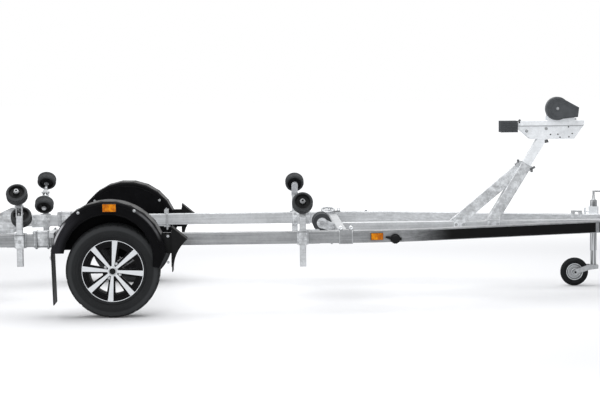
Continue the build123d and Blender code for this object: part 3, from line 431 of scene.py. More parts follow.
for name, side in sides.items():
    bm = bmesh.new()
    hub = Vector((axle_x, side * tyre_mid, axle_z))
    section = [(-y, drop) for y, drop in reversed(half_section)] + half_section
    lathe_into(bm, [hub + Vector((0, y, tyre_r - drop)) for y, drop in section], hub, (0, 1, 0), tyre_steps)
    bmesh.ops.recalc_face_normals(bm, faces=bm.faces)
    # sipes: every third slice of the shoulders and every fourth of the ribs is pressed in
    step = 2 * pi / tyre_steps
    cuts = []
    for face in bm.faces:
        away = face.calc_center_median() - hub
        across, out = abs(away.y), hypot(away.x, away.z)
        slice_no = round((atan2(away.z, away.x) + pi) / step - 0.5)
        beside = half_tread - shoulder_w < across < half_tread + 0.006
        on_shoulder = beside and out > tyre_r - shoulder_drop
        on_rib = out > tyre_r - rib_drop and across < half_tread - shoulder_w
        if (on_shoulder and slice_no % 3 == 0) or (on_rib and slice_no % 4 == (1 if away.y > 0 else 3)):
            cuts.append(face)
    grown = bmesh.ops.extrude_face_region(bm, geom=cuts, use_keep_orig=False)["geom"]
    for vert in [g for g in grown if isinstance(g, bmesh.types.BMVert)]:
        away = Vector((vert.co.x - hub.x, 0, vert.co.z - hub.z))
        vert.co -= away.normalized() * sipe_depth
    bmesh.ops.delete(bm, geom=[f for f in cuts if f.is_valid], context="FACES_ONLY")
    piece = make(f"road_tyre_{name}", bm, tread_rubber, f"wheel_{name}", smooth=28)
    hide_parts(f"tyre_{name}")

# ---- alloy rims: eight machined spokes over a black painted barrel ----
# The fronts of the spokes and the outer lip are turned bright; four bolts sit in the pockets
# around a plain push-in cap, and a rubber valve stands by the lip.
spoke_count, spoke_turn = 8, radians(-5)
spoke_face, base_face = 0.0755, 0.0665
spoke_hub_half, spoke_lip_half = 0.0078, 0.0172
boss_r, cap_r, lip_r, bar_end_r = 0.033, 0.027, 0.1914, 0.188


def spoked(name, side):
    """Bright on the spokes' fronts, the cap's ring and the lip; black everywhere else."""
    f = Finish(name)
    x, y, z = f.axes()
    x, z = x - axle_x, z - axle_z
    out = (x * x + z * z).of("SQRT")
    angle = z.of("ARCTAN2", x) - spoke_turn
    sector = 2 * pi / spoke_count
    off = (angle + pi + sector / 2).of("FLOORED_MODULO", sector) - sector / 2
    beside = (out * off.of("SINE")).of("ABSOLUTE")
    half = (out - cap_r) * ((spoke_lip_half - spoke_hub_half) / (bar_end_r - cap_r)) + spoke_hub_half
    front = y * side > tyre_mid + spoke_face - 0.0008
    spoke = (half - beside).rise(-0.0004, 0.0004).both(front)
    collar = (boss_r - out).rise(-0.0004, 0.0004).both(front)
    lip = (out > lip_r).both(y * side > tyre_mid + 0.070)
    bright = spoke.either(collar).either(lip)
    turned = f.noise(1.0, 2.0, 0.5, f.node("ShaderNodeCombineXYZ", None, {0: out * 900, 1: angle * 3}))
    metal = f.blend(turned, grey(0.62), grey(0.86))
    tone = f.blend(bright, (0.004, 0.004, 0.0045, 1), metal)
    surface = {"Base Color": tone, "Metallic": bright * 0.6, "Roughness": 0.34 - bright * 0.06,
               "Specular IOR Level": 0.08}
    return f.skin(0.00008, turned, surface)


def around(turn):
    """A step of one metre that points so many degrees up from straight ahead."""
    return Vector((cos(radians(turn)), 0, sin(radians(turn))))


bolt_turns, bolt_circle_r, bolt_seat_r, bolt_head_r = (62.5, 152.5, 242.5, 332.5), 0.050, 0.0112, 0.0086
bolt_seat_rise, bolt_head_rise, sunk = 0.0035, 0.0095, 0.001
cap_low_r, cap_high_r, cap_rise = 0.0282, 0.0262, 0.0085
# raised rings on the cap: radius, rise
cap_rings = ((0.0195, 0.0008), (0.0075, 0.0022))
valve_turn, valve_place_r, valve_y, valve_long, valve_cap_long = 203, 0.160, tyre_mid + 0.052, 0.018, 0.004
dark_plastic = rubber("dark_plastic", 0.006, 0.016, 0.38, 500.0, 0.00005)
for name, side in sides.items():
    dress([f"rim_{name}"], spoked(f"spoked_alloy_{name}", side))
    hub = Vector((axle_x, 0, axle_z))
    out_way = Vector((0, side, 0))
    bm = bmesh.new()
    for turn in bolt_turns:
        foot = hub + around(turn) * bolt_circle_r + out_way * (tyre_mid + base_face)
        rod_into(bm, foot - out_way * sunk, foot + out_way * bolt_seat_rise, bolt_seat_r, 24)
        rod_into(bm, foot + out_way * sunk, foot + out_way * bolt_head_rise, bolt_head_r, 6)
    cap_foot = hub + out_way * (tyre_mid + spoke_face)
    cap_top = cap_foot + out_way * cap_rise
    rod_into(bm, cap_foot, cap_top, cap_low_r, 48, tip=cap_high_r)
    soften(bm, 0.0012)
    make(f"wheel_bolts_{name}", bm, plated, f"wheel_{name}", smooth=35)
    bm = bmesh.new()
    for radius, rise in cap_rings:
        rod_into(bm, cap_top - out_way * sunk, cap_top + out_way * rise, radius, 40)
    valve = hub + around(valve_turn) * valve_place_r + out_way * valve_y
    valve_neck = valve + out_way * valve_long
    rod_into(bm, valve, valve_neck, 0.0048, 12, tip=0.0036)
    rod_into(bm, valve_neck, valve_neck + out_way * valve_cap_long, 0.0045, 10)
    make(f"wheel_cap_{name}", bm, dark_plastic, f"wheel_{name}", smooth=35)

# ---- mudguards: black moulded half shells with a rolled lip and screws over the arms ----
# Glossy polyethylene. A flat rubber flap hangs from the rear end of each under a clamp strip.
guard_r, guard_half, guard_round, skirt_r = 0.362, 0.110, 0.016, 0.282
guard = Vector((axle_x - 0.0235, 0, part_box("mudguard_right")[1].z - guard_r))
f = Finish("glossy_guard_plastic")
swirl = f.noise(14.0, 5.0, 0.6)
tone = f.blend(swirl, (0.002, 0.002, 0.0023, 1), (0.006, 0.006, 0.0068, 1))
x, y, z = f.axes()
dx, dz = x - guard.x, z - guard.z
radius, turn = (dx * dx + dz * dz).of("SQRT"), dz.of("ARCTAN2", dx)
shoulder = y.of("ABSOLUTE") > tyre_mid + guard_half - 0.024
# pale arcs on the rounded shoulder, strongest at the rear: painted highlight
rear_highlight = radius.band(0.344, 0.348, 0.355, 0.360) * turn.band(2.40, 2.52, 2.78, 2.90)
front_highlight = radius.band(0.334, 0.344, 0.348, 0.358) * turn.band(0.30, 0.55, 0.95, 1.15)
painted_highlight = (rear_highlight * 0.75).either(front_highlight * 0.18) * shoulder * swirl.rise(0.1, 0.6)
# a paler band on the rear of the shoulder: painted sheen
painted_sheen = radius.rise(0.285, 0.325) * turn.rise(2.0, 2.5) * shoulder
tone = f.blend(painted_sheen, tone, (0.020, 0.020, 0.023, 1))
tone = f.blend(painted_highlight, tone, (0.60, 0.60, 0.62, 1))
surface = {"Base Color": tone, "Roughness": 0.26 + swirl * 0.14, "Specular IOR Level": 0.035}
guard_plastic = f.skin(0.0006, f.noise(22.0, 3.0), surface)
dress(["mudguard_right", "mudguard_left"], guard_plastic)
flap_rubber = rubber("flap_rubber", 0.012, 0.028, 0.5)
dress(["mud_flaps"], flap_rubber)
ribs, screws = bmesh.new(), bmesh.new()
rib_r, bead_r = 0.0032, 0.0048
# rib's place across the guard, its radius round the guard's centre, its thickness, its ends in degrees
rib_rows = (
    (-guard_half + guard_round + 0.004, guard_r, rib_r, 8, 172),
    (guard_half - guard_round - 0.004, guard_r, rib_r, 6, 172),
    (guard_half - 0.0005, guard_r - 0.028, rib_r, 0, 173),
    (guard_half - 0.0005, skirt_r + 0.003, bead_r, -9, 172),
    (-guard_half + 0.0005, guard_r - 0.030, rib_r, 12, 172),
)
outer_screw_turns, outer_screw_r = (61, 122), guard_r - 0.016
inner_bolt_turns, inner_bolt_r = (44, 136), guard_r - 0.034
for side in sides.values():
    out_way = Vector((0, side, 0))
    for across, radius, thick, first_turn, last_turn in rib_rows:
        first = guard + around(first_turn) * radius + out_way * (tyre_mid + across)
        arc = ("bend", (0, -1, 0), radius, radians(last_turn - first_turn))
        pipe_into(ribs, first, around(first_turn + 90), thick, [arc], 8)
    for turn in outer_screw_turns:
        foot = guard + around(turn) * outer_screw_r + out_way * (tyre_mid + guard_half)
        neck = foot + out_way * 0.0022
        rod_into(screws, foot - out_way * sunk, neck, 0.0095, 20)
        rod_into(screws, neck, foot + out_way * 0.0060, 0.0065, 16, tip=0.0035)
    for turn in inner_bolt_turns:
        foot = guard + around(turn) * inner_bolt_r + out_way * (tyre_mid - guard_half)
        bolt_into(screws, foot, -out_way, 0.008)
make("mudguard_ribs", ribs, guard_plastic, smooth=60)
make("mudguard_screws", screws, plated, smooth=40)
flap_low, flap_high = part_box("mud_flaps")
strips, bolts = bmesh.new(), bmesh.new()
strip_top, strip_h, strip_half, strip_wall = flap_high.z - 0.012, 0.030, 0.092, 0.003
strip_bolt_ys = (-0.070, 0.0, 0.070)
strip_x = flap_low.x - strip_wall
for side in sides.values():
    y = side * tyre_mid
    box_into(strips, (strip_x, y - strip_half, strip_top - strip_h), (flap_low.x, y + strip_half, strip_top))
    for across in strip_bolt_ys:
        bolt_into(bolts, (strip_x, y + across, strip_top - strip_h / 2), (-1, 0, 0), 0.007, nut=False)
make("flap_clamp_strips", strips, plated)
make("flap_bolts", bolts, plated, smooth=35)

# ---- wheel chocks in their holders ----
# Moulded black plastic wedges with ribbed faces, pressed upright into holders of the same plastic.
f = Finish("chock_plastic")
grain = f.noise(420.0, 2.0)
tone = f.blend(f.noise(12.0), grey(0.005), grey(0.015))
surface = {"Base Color": tone, "Roughness": 0.5 + grain * 0.1, "Specular IOR Level": 0.06}
chock_plastic = f.skin(0.0003, grain, surface)
dress(["wheel_chocks", "chock_holders"], chock_plastic)

# ---- side marker lamps ----
# Amber prismatic lenses on black plastic bases, one on each mudguard and each drawbar bend.
f = Finish("amber_lens")
x, y, z = f.axes()
prism_pitch = 0.0065
prisms = x.wave(prism_pitch) * z.wave(prism_pitch)
patchy = f.noise(55.0, 2.0)
tone = f.blend(patchy.rise(0.35, 0.7), (0.42, 0.105, 0.002, 1), (0.72, 0.25, 0.004, 1))
surface = {"Base Color": tone, "Roughness": 0.3, "Specular IOR Level": 0.12, "Emission Color": tone,
           "Emission Strength": 0.12}
dress(["marker_lamps"], f.skin(0.0008, prisms, surface))
bases = bmesh.new()
marker_x, marker_z = axle_x - 0.011, 0.701
base_half_w, base_half_h, base_depth = 0.0450, 0.0270, 0.0110
guard_face = tyre_mid + guard_half
bend_x, bend_r = axle_x + 1.512, 1.900
bend_face_r = bend_r + beam_face - beam_y
front_turn, front_z = radians(5.2), 0.473
front_half_w, front_half_h, front_depth = 0.041, 0.0235, 0.0075
for side in sides.values():
    box_into(bases, (marker_x - base_half_w, side * guard_face, marker_z - base_half_h),
             (marker_x + base_half_w, side * (guard_face + base_depth), marker_z + base_half_h))
    front_y = side * (beam_y - bend_r + bend_face_r * cos(front_turn))
    spot = Vector((bend_x + bend_face_r * sin(front_turn), front_y, front_z))
    verts = box_into(bases, (-front_half_w, -0.001, -front_half_h), (front_half_w, front_depth, front_half_h))
    place = Matrix.Translation(spot) @ Matrix.Rotation(-side * front_turn, 4, "Z")
    bmesh.ops.transform(bases, matrix=place @ Matrix.Diagonal((1, side, 1, 1)), verts=verts)
bmesh.ops.recalc_face_normals(bases, faces=bases.faces)
soften(bases, 0.003)
make("marker_lamp_bases", bases, dark_plastic, smooth=40)

# ---- drawbar paint ----
# The outer faces are sprayed black along the straight part, fading in from bare zinc, with a clean
# edge short of the jockey wheel and a dark grey patch after it; the fade is partly painted reflection.
bend_end_x, bend_end_y, bend_deg = 2.0960, 0.6290, 17.9
lean = radians(bend_deg)
straight_x, straight_y = axle_x + bend_end_x, bend_end_y + (beam_face - beam_y) / cos(lean)
fade_from, fade_to, paint_end = axle_x + 1.800, axle_x + 2.200, 1.160
paint_thick, paint_sunk = 0.0006, 0.0003
paint_low, paint_high = beam_bottom + 0.0045, beam_top - 0.0105
bend_centre_y = beam_y - bend_r
patch_from, patch_to = 1.186, 1.330


def faded(name, low, high, bend_only=False):
    """Galvanised steel that turns black along the beam, if asked only on the bend's outer face."""
    f = Finish(name)
    level, height = zinc_level(f, 0.011, 5.0, 0.46)
    x, y, z = f.axes()
    # the fade from zinc into black: partly the spray's soft edge, partly painted reflection
    share = (x + (f.noise(30.0, 2.0) - 0.5) * 0.03).rise(fade_from, fade_to)
    if bend_only:
        across, ahead = y.of("ABSOLUTE") - bend_centre_y, x - bend_x
        on_face = (across * across + ahead * ahead).of("SQRT") > bend_r + 0.024
        share = share.both(on_face).both(x < straight_x).both(z > paint_low).both(z < paint_high)
    gloss = f.noise(8.0, 3.0)
    tone = f.blend(share, f.blend(level, grey(low), grey(high)), f.blend(gloss, grey(0.003), grey(0.008)))
    surface = {"Base Color": tone, "Metallic": 0.62 - share * 0.62, "Roughness": 0.36 + height * 0.1,
               "Specular IOR Level": 0.08}
    return f.skin(0.0004, height * (1 - share), surface)


paint, patch = bmesh.new(), bmesh.new()
for side in sides.values():
    turn = Matrix.Translation((straight_x, side * straight_y, 0)) @ Matrix.Rotation(-side * lean, 4, "Z")
    for bm, first, last in ((paint, 0.0, paint_end), (patch, patch_from, patch_to)):
        verts = box_into(bm, (first, -paint_sunk * side, paint_low), (last, paint_thick * side, paint_high))
        bmesh.ops.transform(bm, matrix=turn, verts=verts)
# the paint sheet and the right drawbar take the darker zinc levels, painted shade; the left drawbar takes the
# paler ones, painted light
make("drawbar_paint", paint, faded("faded_black_paint", 0.17, 0.40))
dress(["drawbar_right"], faded("right_drawbar_shaded_zinc", 0.17, 0.40, bend_only=True))
dress(["drawbar_left"], faded("left_drawbar_lit_zinc", 0.34, 0.66, bend_only=True))
patch_grey = rubber("dark_grey_paint", 0.05, 0.085, 0.42, 200.0, 0.00005)
make("drawbar_patches", patch, patch_grey)

# ---- trailer plug, parked on the right drawbar beam ----
# A round black plug in its holder, with grip ribs, a cable gland to the rear and a small tab.
plug = Vector((axle_x + 1.806, 0, 0.456))
plug_turn = (plug.x - bend_x) / bend_face_r
plug.y = -(beam_y - bend_r + bend_face_r * cos(plug_turn))
plug_r, plug_depth, plug_lip, plug_seat = 0.031, 0.020, 0.006, 0.004
grip_ribs, grip_r, gland_r, gland_end_r = 18, 0.0022, 0.0115, 0.006
bm = bmesh.new()
out_way = Vector((0, -1, 0))
plug_face = plug + out_way * plug_depth
rod_into(bm, plug - out_way * plug_seat, plug_face, plug_r, 40)
rod_into(bm, plug_face, plug_face + out_way * plug_lip, plug_r * 0.8, 40, tip=plug_r * 0.66)
for i in range(grip_ribs):
    foot = plug + around(360 * i / grip_ribs) * plug_r
    rod_into(bm, foot + out_way * sunk, foot + out_way * (plug_depth - 2 * sunk), grip_r, 8)
gland = plug + out_way * 0.011 + Vector((0.002 - plug_r, 0, 0.006))
rod_into(bm, gland, gland + Vector((plug_r - 0.064, 0, 0.006)), gland_r, 20, tip=gland_end_r)
box_into(bm, plug + Vector((plug_r - 0.004, -0.016, -0.012)), plug + Vector((plug_r + 0.010, -0.004, 0.008)))
make("trailer_plug", bm, dark_plastic, smooth=40)

# ---- mudguard arm clamps, and nuts on the arms and the chock holders ----
# Pressed saddles over the side beams behind the rear arms, each held by two U-bolts whose
# legs run down the beam's faces into nuts under a bottom strap. Mottled fresh zinc.
saddles, bolts = bmesh.new(), bmesh.new()
saddle_from, saddle_to = axle_x - 0.524, axle_x - 0.400
saddle_rise, saddle_wall, saddle_half, strap_drop = 0.022, 0.005, 0.031, 0.004
strap_from, strap_to = saddle_from + 0.004, saddle_to - 0.004
cheek_from, cheek_to, cheek_lap = saddle_from + 0.006, saddle_to - 0.006, 0.004
leg_inset, leg_r, leg_tail, arm_bolt_inset = 0.024, 0.0055, 0.012, 0.015
arm_low, arm_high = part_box("mudguard_arms")
holder_low, holder_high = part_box("chock_holders")
holder_bolt_x, holder_bolt_y, holder_bolt_inset = holder_low.x + 0.042, tyre_mid + 0.045, 0.030
for side in sides.values():
    y_in, y_out = side * (beam_y - saddle_half), side * (beam_y + saddle_half)
    box_into(saddles, (saddle_from, y_in, beam_top), (saddle_to, y_out, beam_top + saddle_rise))
    box_into(saddles, (strap_from, y_in, beam_bottom - strap_drop), (strap_to, y_out, beam_bottom))
    bow_z = beam_top + saddle_rise - leg_r
    for y, way in ((y_in, -side), (y_out, side)):
        box_into(saddles, (cheek_from, y - way * saddle_wall, beam_bottom + cheek_lap),
                 (cheek_to, y, beam_top + cheek_lap))
    for x in (saddle_from + leg_inset, saddle_to - leg_inset):
        for y in (y_in - side * leg_r, y_out + side * leg_r):
            rod_into(bolts, (x, y, beam_bottom - leg_tail), (x, y, beam_top + saddle_rise), leg_r, 12)
            bolt_into(bolts, (x, y, beam_bottom - strap_drop), (0, 0, -1), 0.008, nut=False)
        rod_into(bolts, (x, y_in - side * leg_r, bow_z), (x, y_out + side * leg_r, bow_z), leg_r * 1.4, 12)
    for x in (arm_low.x + arm_bolt_inset, arm_high.x - arm_bolt_inset):
        bolt_into(bolts, (x, side * beam_y, arm_high.z), (0, 0, 1), 0.009)
    for z in (holder_low.z + holder_bolt_inset, holder_high.z - holder_bolt_inset):
        bolt_into(bolts, (holder_bolt_x, side * holder_bolt_y, z), (0, side, 0), 0.007, nut=False)
soften(saddles, 0.0025)
make("mudguard_arm_saddles", saddles, rough_zinc, smooth=40)
make("mudguard_arm_bolts", bolts, plated, smooth=35)

# ---- roller posts, their clamps and plates ----
# Dipped square tubes that slide up and down in folded collars; a thin dark band round each post at the
# collar's top is painted shade.
# Bolts through the beam pull a collar, freshly mottled, against a plate on the inner face.
pale_zinc = galvanised("post_zinc", 0.34, 0.72, spangle=0.009, cloud=14.0)
posts = {"front_right": -1, "front_left": 1, "rear_right": -1, "rear_left": 1}
dress([f"post_{name}" for name in posts], pale_zinc)
dress(["post_clamps", "plug_holder"], rough_zinc)
plates, bolts, collar_shade_bands = bmesh.new(), bmesh.new(), bmesh.new()
plate_half_w, plate_half_h, plate_wall = 0.065, 0.047, 0.005
flange_x, flange_z, flange_face, collar_face = 0.0315, 0.030, beam_face + 0.006, 0.795
shade_band_wall, shade_band_half_h, shade_band_from, shade_band_to = 0.0035, 0.003, beam_face + 0.002, collar_face + 0.001
plate_shift = {"front": 0.046, "rear": -0.030}
middle = (beam_top + beam_bottom) / 2
for name, side in posts.items():
    post_low, post_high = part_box(f"post_{name}")
    x, inner = (post_low.x + post_high.x) / 2, side * (2 * beam_y - beam_face)
    plate_x, plate_y = x + plate_shift[name.split("_")[0]], inner - side * plate_wall
    box_into(plates, (plate_x - plate_half_w, inner, middle - plate_half_h),
             (plate_x + plate_half_w, plate_y, middle + plate_half_h))
    for dx in (-flange_x, flange_x):
        for z in (middle - flange_z, middle + flange_z):
            bolt_into(bolts, (x + dx, side * flange_face, z), (0, side, 0), 0.0045, nut=False)
            bolt_into(bolts, (plate_x + dx * 1.5, plate_y, z), (0, -side, 0), 0.008)
    bolt_into(bolts, (x, side * collar_face, middle - 0.002), (0, side, 0), 0.009, nut=False)
    shade_band_half = (post_high.x - post_low.x) / 2 + shade_band_wall
    # the dark band at the collar's top: painted shade
    box_into(collar_shade_bands, (x - shade_band_half, side * shade_band_from, beam_top - shade_band_half_h),
             (x + shade_band_half, side * shade_band_to, beam_top + shade_band_half_h))
soften(plates, 0.0015)
make("clamp_plates", plates, rough_zinc, smooth=40)
make("clamp_bolts", bolts, plated, smooth=35)
soften(collar_shade_bands, 0.001)
make("post_collar_shade_bands", collar_shade_bands, bright_zinc("collar_shade_zinc", 0.10, 0.26), smooth=40)

# ---- side rollers and rockers ----
# Black rubber rollers with knurled treads, smooth end bands and deep dished ends, turning on
# plated rods. Each rear pair sits on a rocker that tilts in the yoke of its post.
f = Finish("side_roller_rubber")
fine = f.noise(260.0, 3.0)
dust = f.noise(20.0, 4.0)
# darker in the knurl grooves and on the dished ends towards the hub, paler and dustier out on the tread
lighter_outward = f.node("ShaderNodeAttribute", {"attribute_name": "lighter_outward"}, output="Fac")
dusty = f.blend(dust * 0.7 + fine * 0.3, grey(0.030, 0.05), grey(0.110, 0.05))
tone = f.blend(lighter_outward, grey(0.006, 0.05), dusty)
surface = {"Base Color": tone, "Roughness": 0.6 + fine * 0.1, "Specular IOR Level": 0.16}
roller_rubber = f.skin(0.0004, fine, surface)
roller_r, roller_half, hub_r, bore_r, recess, recess_r = 0.068, 0.032, 0.020, 0.0101, 0.016, 0.046
# half of the roller's outline: radius, distance from the middle
half_outline = [
    (roller_r - 0.0012, 0.0), (roller_r - 0.0012, 0.009), (roller_r, 0.0105), (roller_r, 0.0185),
    (roller_r - 0.0010, 0.0200), (roller_r - 0.0010, 0.0225), (roller_r - 0.0040, 0.0268),
    (roller_r - 0.0095, 0.0305), (roller_r - 0.0130, roller_half), (recess_r + 0.0080, roller_half),
    (recess_r + 0.0030, roller_half - 0.0015), (recess_r, roller_half - 0.006),
    (recess_r - 0.0015, roller_half - recess), (hub_r + 0.003, roller_half - recess),
    (hub_r, roller_half - recess + 0.002), (hub_r, roller_half - 0.003), (hub_r - 0.002, roller_half - 0.002),
    (bore_r, roller_half - 0.002),
]
single_tilt, rocker_tilt = radians(25), radians(40)
roller_steps, knurl_depth, knurl_half, knurl_row = 84, 0.0022, 0.023, 0.0095
rollers = {
    "roller_front_right": (-1, single_tilt), "roller_front_left": (1, single_tilt),
    "roller_rear_right_outer": (-1, rocker_tilt), "roller_rear_right_inner": (-1, rocker_tilt),
    "roller_rear_left_outer": (1, rocker_tilt), "roller_rear_left_inner": (1, rocker_tilt),
}
for name, (side, tilt) in rollers.items():
    low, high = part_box(name)
    centre = (low + high) / 2
    axis = Vector((0, side * cos(tilt), sin(tilt)))
    turn = Matrix.Translation(centre) @ axis.to_track_quat("Z", "Y").to_matrix().to_4x4()
    bm = bmesh.new()
    outline = [(r, -z) for r, z in reversed(half_outline[1:])] + half_outline
    lathe_into(bm, [(r, 0, z) for r, z in outline], (0, 0, 0), (0, 0, 1), roller_steps)
    # per vertex: 0 in towards the hub, 1 out on the tread, low in the knurl grooves
    lighter_outward = bm.verts.layers.float.new("lighter_outward")
    for vert in bm.verts:
        radius = hypot(vert.co.x, vert.co.y)
        vert[lighter_outward] = min(1.0, max(0.0, (radius - recess_r) / (roller_r - recess_r)))
        if radius > roller_r - 0.002 and abs(vert.co.z) < knurl_half:
            slice_no = round(atan2(vert.co.y, vert.co.x) / (2 * pi / roller_steps))
            if (slice_no + (abs(vert.co.z) > knurl_row)) % 2:
                vert.co.x *= 1 - knurl_depth / radius
                vert.co.y *= 1 - knurl_depth / radius
                vert[lighter_outward] = 0.10
    bmesh.ops.transform(bm, matrix=turn, verts=bm.verts)
    bmesh.ops.recalc_face_normals(bm, faces=bm.faces)
    piece = make(name.replace("roller", "side_roller"), bm, roller_rubber, name, smooth=24)
    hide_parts(name)

dress(["rocker_rear_right", "rocker_rear_left"], bright_zinc("rocker_zinc", 0.16, 0.42))
hub_zinc = bright_zinc("hub_nut_zinc", 0.12, 0.34)
reach, rocker_half, yoke_face = roller_half + 0.004, 0.125, 0.0202
washer_half, nut_r, nut_from, nut_to = 0.0015, 0.0148, 0.001, 0.0095
tip_r, tip_from, tip_to = 0.0070, 0.009, 0.0108
grip_out, grip_half, grip_collar_r = 0.040, 0.004, 0.0135
for name, (side, tilt) in rollers.items():
    if "inner" in name:
        continue
    spot = name.replace("_outer", "")
    low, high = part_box(name)
    axis = Vector((0, side * cos(tilt), sin(tilt)))
    end = (low + high) / 2 + axis * reach
    nuts, tips = bmesh.new(), bmesh.new()
    rod_into(nuts, end - axis * washer_half, end + axis * washer_half, 0.0150, 28)
    rod_into(nuts, end + axis * nut_from, end + axis * nut_to, nut_r, 6)
    rod_into(tips, end + axis * tip_from, end + axis * tip_to, tip_r, 16)
    body, finish = "root", hub_zinc
    if "rear" in name:
        body, finish = spot.replace("roller", "rocker"), plated
        far = end - axis * (2 * rocker_half + 2 * reach)
        rod_into(nuts, far + axis * washer_half, far - axis * washer_half, 0.0165, 28)
        rod_into(nuts, far - axis * nut_from, far - axis * nut_to, nut_r, 6)
        for way in (-1, 1):
            grip = (low + high) / 2 + axis * (way * grip_out - rocker_half)
            rod_into(nuts, grip - axis * grip_half, grip + axis * grip_half, grip_collar_r, 24)
    make(spot.replace("roller", "axle_nuts"), nuts, finish, body, smooth=35)
    make(spot.replace("roller", "axle_ends"), tips, dark_plastic, body, smooth=40)
bm = bmesh.new()
for name in ("rocker_rear_right", "rocker_rear_left"):
    low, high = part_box(name)
    for way in (-1, 1):
        bolt_into(bm, (low + high) / 2 + Vector((way * yoke_face, 0, 0)), (way, 0, 0), 0.0085, nut=False)
make("yoke_pin_nuts", bm, plated, smooth=35)

# ---- keel rollers in their brackets ----
# Waisted rubber rollers between galvanised cheeks, on plated rods with black nylon washers.
keel_rubber = rubber("keel_roller_rubber", 0.030, 0.085, 0.6)
dress(["keel_roller_mid", "keel_roller_rear"], keel_rubber)
nuts, washers = bmesh.new(), bmesh.new()
washer_in, washer_out, nylon_r, cheek_nut_y = 0.0952, 0.0995, 0.022, 0.106
foot_nut_y, foot_nut_z, foot_nut_rise = 0.055, 0.470, 0.018
for end, inside in (("mid", -1), ("rear", 1)):
    low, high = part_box(f"keel_roller_{end}")
    bracket_low, bracket_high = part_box(f"keel_bracket_{end}")
    foot_x = (bracket_high.x if end == "mid" else bracket_low.x) + inside * 0.006
    for way in (-1, 1):
        centre, out_way = (low + high) / 2, Vector((0, way, 0))
        rod_into(washers, centre + out_way * washer_in, centre + out_way * washer_out, nylon_r, 28)
        bolt_into(nuts, centre + out_way * cheek_nut_y, out_way, 0.0125)
        for z in (foot_nut_z - foot_nut_rise, foot_nut_z + foot_nut_rise):
            bolt_into(nuts, (foot_x, way * foot_nut_y, z), (inside, 0, 0), 0.009, nut=False)
make("keel_roller_nuts", nuts, plated, smooth=35)
make("keel_roller_washers", washers, dark_plastic, smooth=40)

# ---- winch post: leg, brace and telescopic mast with wing bolts ----
# Box sections welded into one frame and dipped; two wing bolts clamp the mast in its leg.
bright_zinc_skin = galvanised("winch_post_zinc", 0.34, 0.92, spangle=0.012, cloud=20.0, streak=0.1)
smooth_zinc = galvanised("mast_zinc", 0.78, 1.0, spangle=0.008, cloud=12.0, streak=0.1)
dress(["winch_stand"], bright_zinc_skin)
dress(["winch_mast", "winch_frame"], smooth_zinc)
mast_deg, brace_deg = 58.5, 39.8
along = around(mast_deg)
across = Vector((-along.z, 0, along.x))
collar = Vector((axle_x + 2.776, 0, 0.886))
collar_half_x, collar_half_y, seam_r = 0.0385, 0.0365, 0.0030
wing_foot, wing_drop, wing_apart, wing_nut_r, wing_nut_h = 0.037, 0.014, 0.008, 0.0125, 0.010
wing_hub, wing_hub_r, wing_half, wing_lift, wing_r, wing_end_r = 0.014, 0.0095, 0.021, 0.012, 0.0070, 0.0085
dark_steel = bright_zinc("dark_steel", 0.05, 0.12)
seams, wings, bolts, brace_head = bmesh.new(), bmesh.new(), bmesh.new(), bmesh.new()
for way in (-1, 1):
    out_way = across * way
    at = collar - along * (wing_drop + way * wing_apart) + out_way * wing_foot
    hub = at + out_way * wing_hub
    rod_into(wings, at, at + out_way * wing_nut_h, wing_nut_r, 6)
    rod_into(wings, hub - out_way * 0.006, hub + out_way * 0.008, wing_hub_r, 16, tip=0.007)
    for reach in (-wing_half, wing_half):
        rod_into(wings, hub, hub + along * reach + out_way * wing_lift, wing_r, 10, tip=wing_end_r)
corners = [(-collar_half_x, -collar_half_y), (collar_half_x, -collar_half_y),
           (collar_half_x, collar_half_y), (-collar_half_x, collar_half_y)]
collar_ring = [collar + across * u + Vector((0, v, 0)) for u, v in corners]
for first, last in zip(collar_ring, collar_ring[1:] + collar_ring[:1]):
    rod_into(seams, first, last, seam_r, 8)
brace_foot = Vector((axle_x + 2.382, 0, 0.565))
# the brace's head ends on the leg's face, and square to the mast just below its collar
brace_half_w, brace_half_h, head_from, head_to = 0.020, 0.037, 0.360, 0.620
verts = box_into(brace_head, (head_from, -brace_half_w, -brace_half_h), (head_to, brace_half_w, brace_half_h))
turn = Matrix.Translation(brace_foot) @ Matrix.Rotation(-radians(brace_deg), 4, "Y")
bmesh.ops.transform(brace_head, matrix=turn, verts=verts)
for at, away in ((collar + across * 0.025, -across), (collar - along * 0.003, along)):
    whole = brace_head.verts[:] + brace_head.edges[:] + brace_head.faces[:]
    cut = bmesh.ops.bisect_plane(brace_head, geom=whole, plane_co=at, plane_no=away, clear_outer=True)
    rim = [g for g in cut["geom_cut"] if isinstance(g, bmesh.types.BMEdge)]
    bmesh.ops.edgeloop_fill(brace_head, edges=rim)
bmesh.ops.recalc_face_normals(brace_head, faces=brace_head.faces)
keel_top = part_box("keel_beam")[1].z
foot_half_y, foot_seam_half, foot_seam_z = 0.036, 0.040, keel_top + 0.006
foot_bolt_half, foot_bolt_z, brace_foot_rise = 0.026, keel_top - 0.024, 0.065
leg_foot_x = collar.x - (collar.z - keel_top) / tan(radians(mast_deg)) + 0.008
brace_foot_x = brace_foot.x - brace_foot_rise / tan(radians(brace_deg)) + 0.010
for x in (leg_foot_x, brace_foot_x):
    for y in (-foot_half_y, foot_half_y):
        for bolt_x in (x - foot_bolt_half, x + foot_bolt_half):
            bolt_into(bolts, (bolt_x, y, foot_bolt_z), (0, y, 0), 0.0085)
        rod_into(seams, (x - foot_seam_half, y, foot_seam_z), (x + foot_seam_half, y, foot_seam_z), seam_r, 8)
make("winch_brace_head", brace_head, bright_zinc_skin)
make("winch_post_seams", seams, bright_zinc_skin, smooth=40)
make("mast_wing_bolts", wings, bright_zinc("wing_bolt_zinc", 0.10, 0.26), smooth=35)
make("winch_post_bolts", bolts, plated, smooth=35)

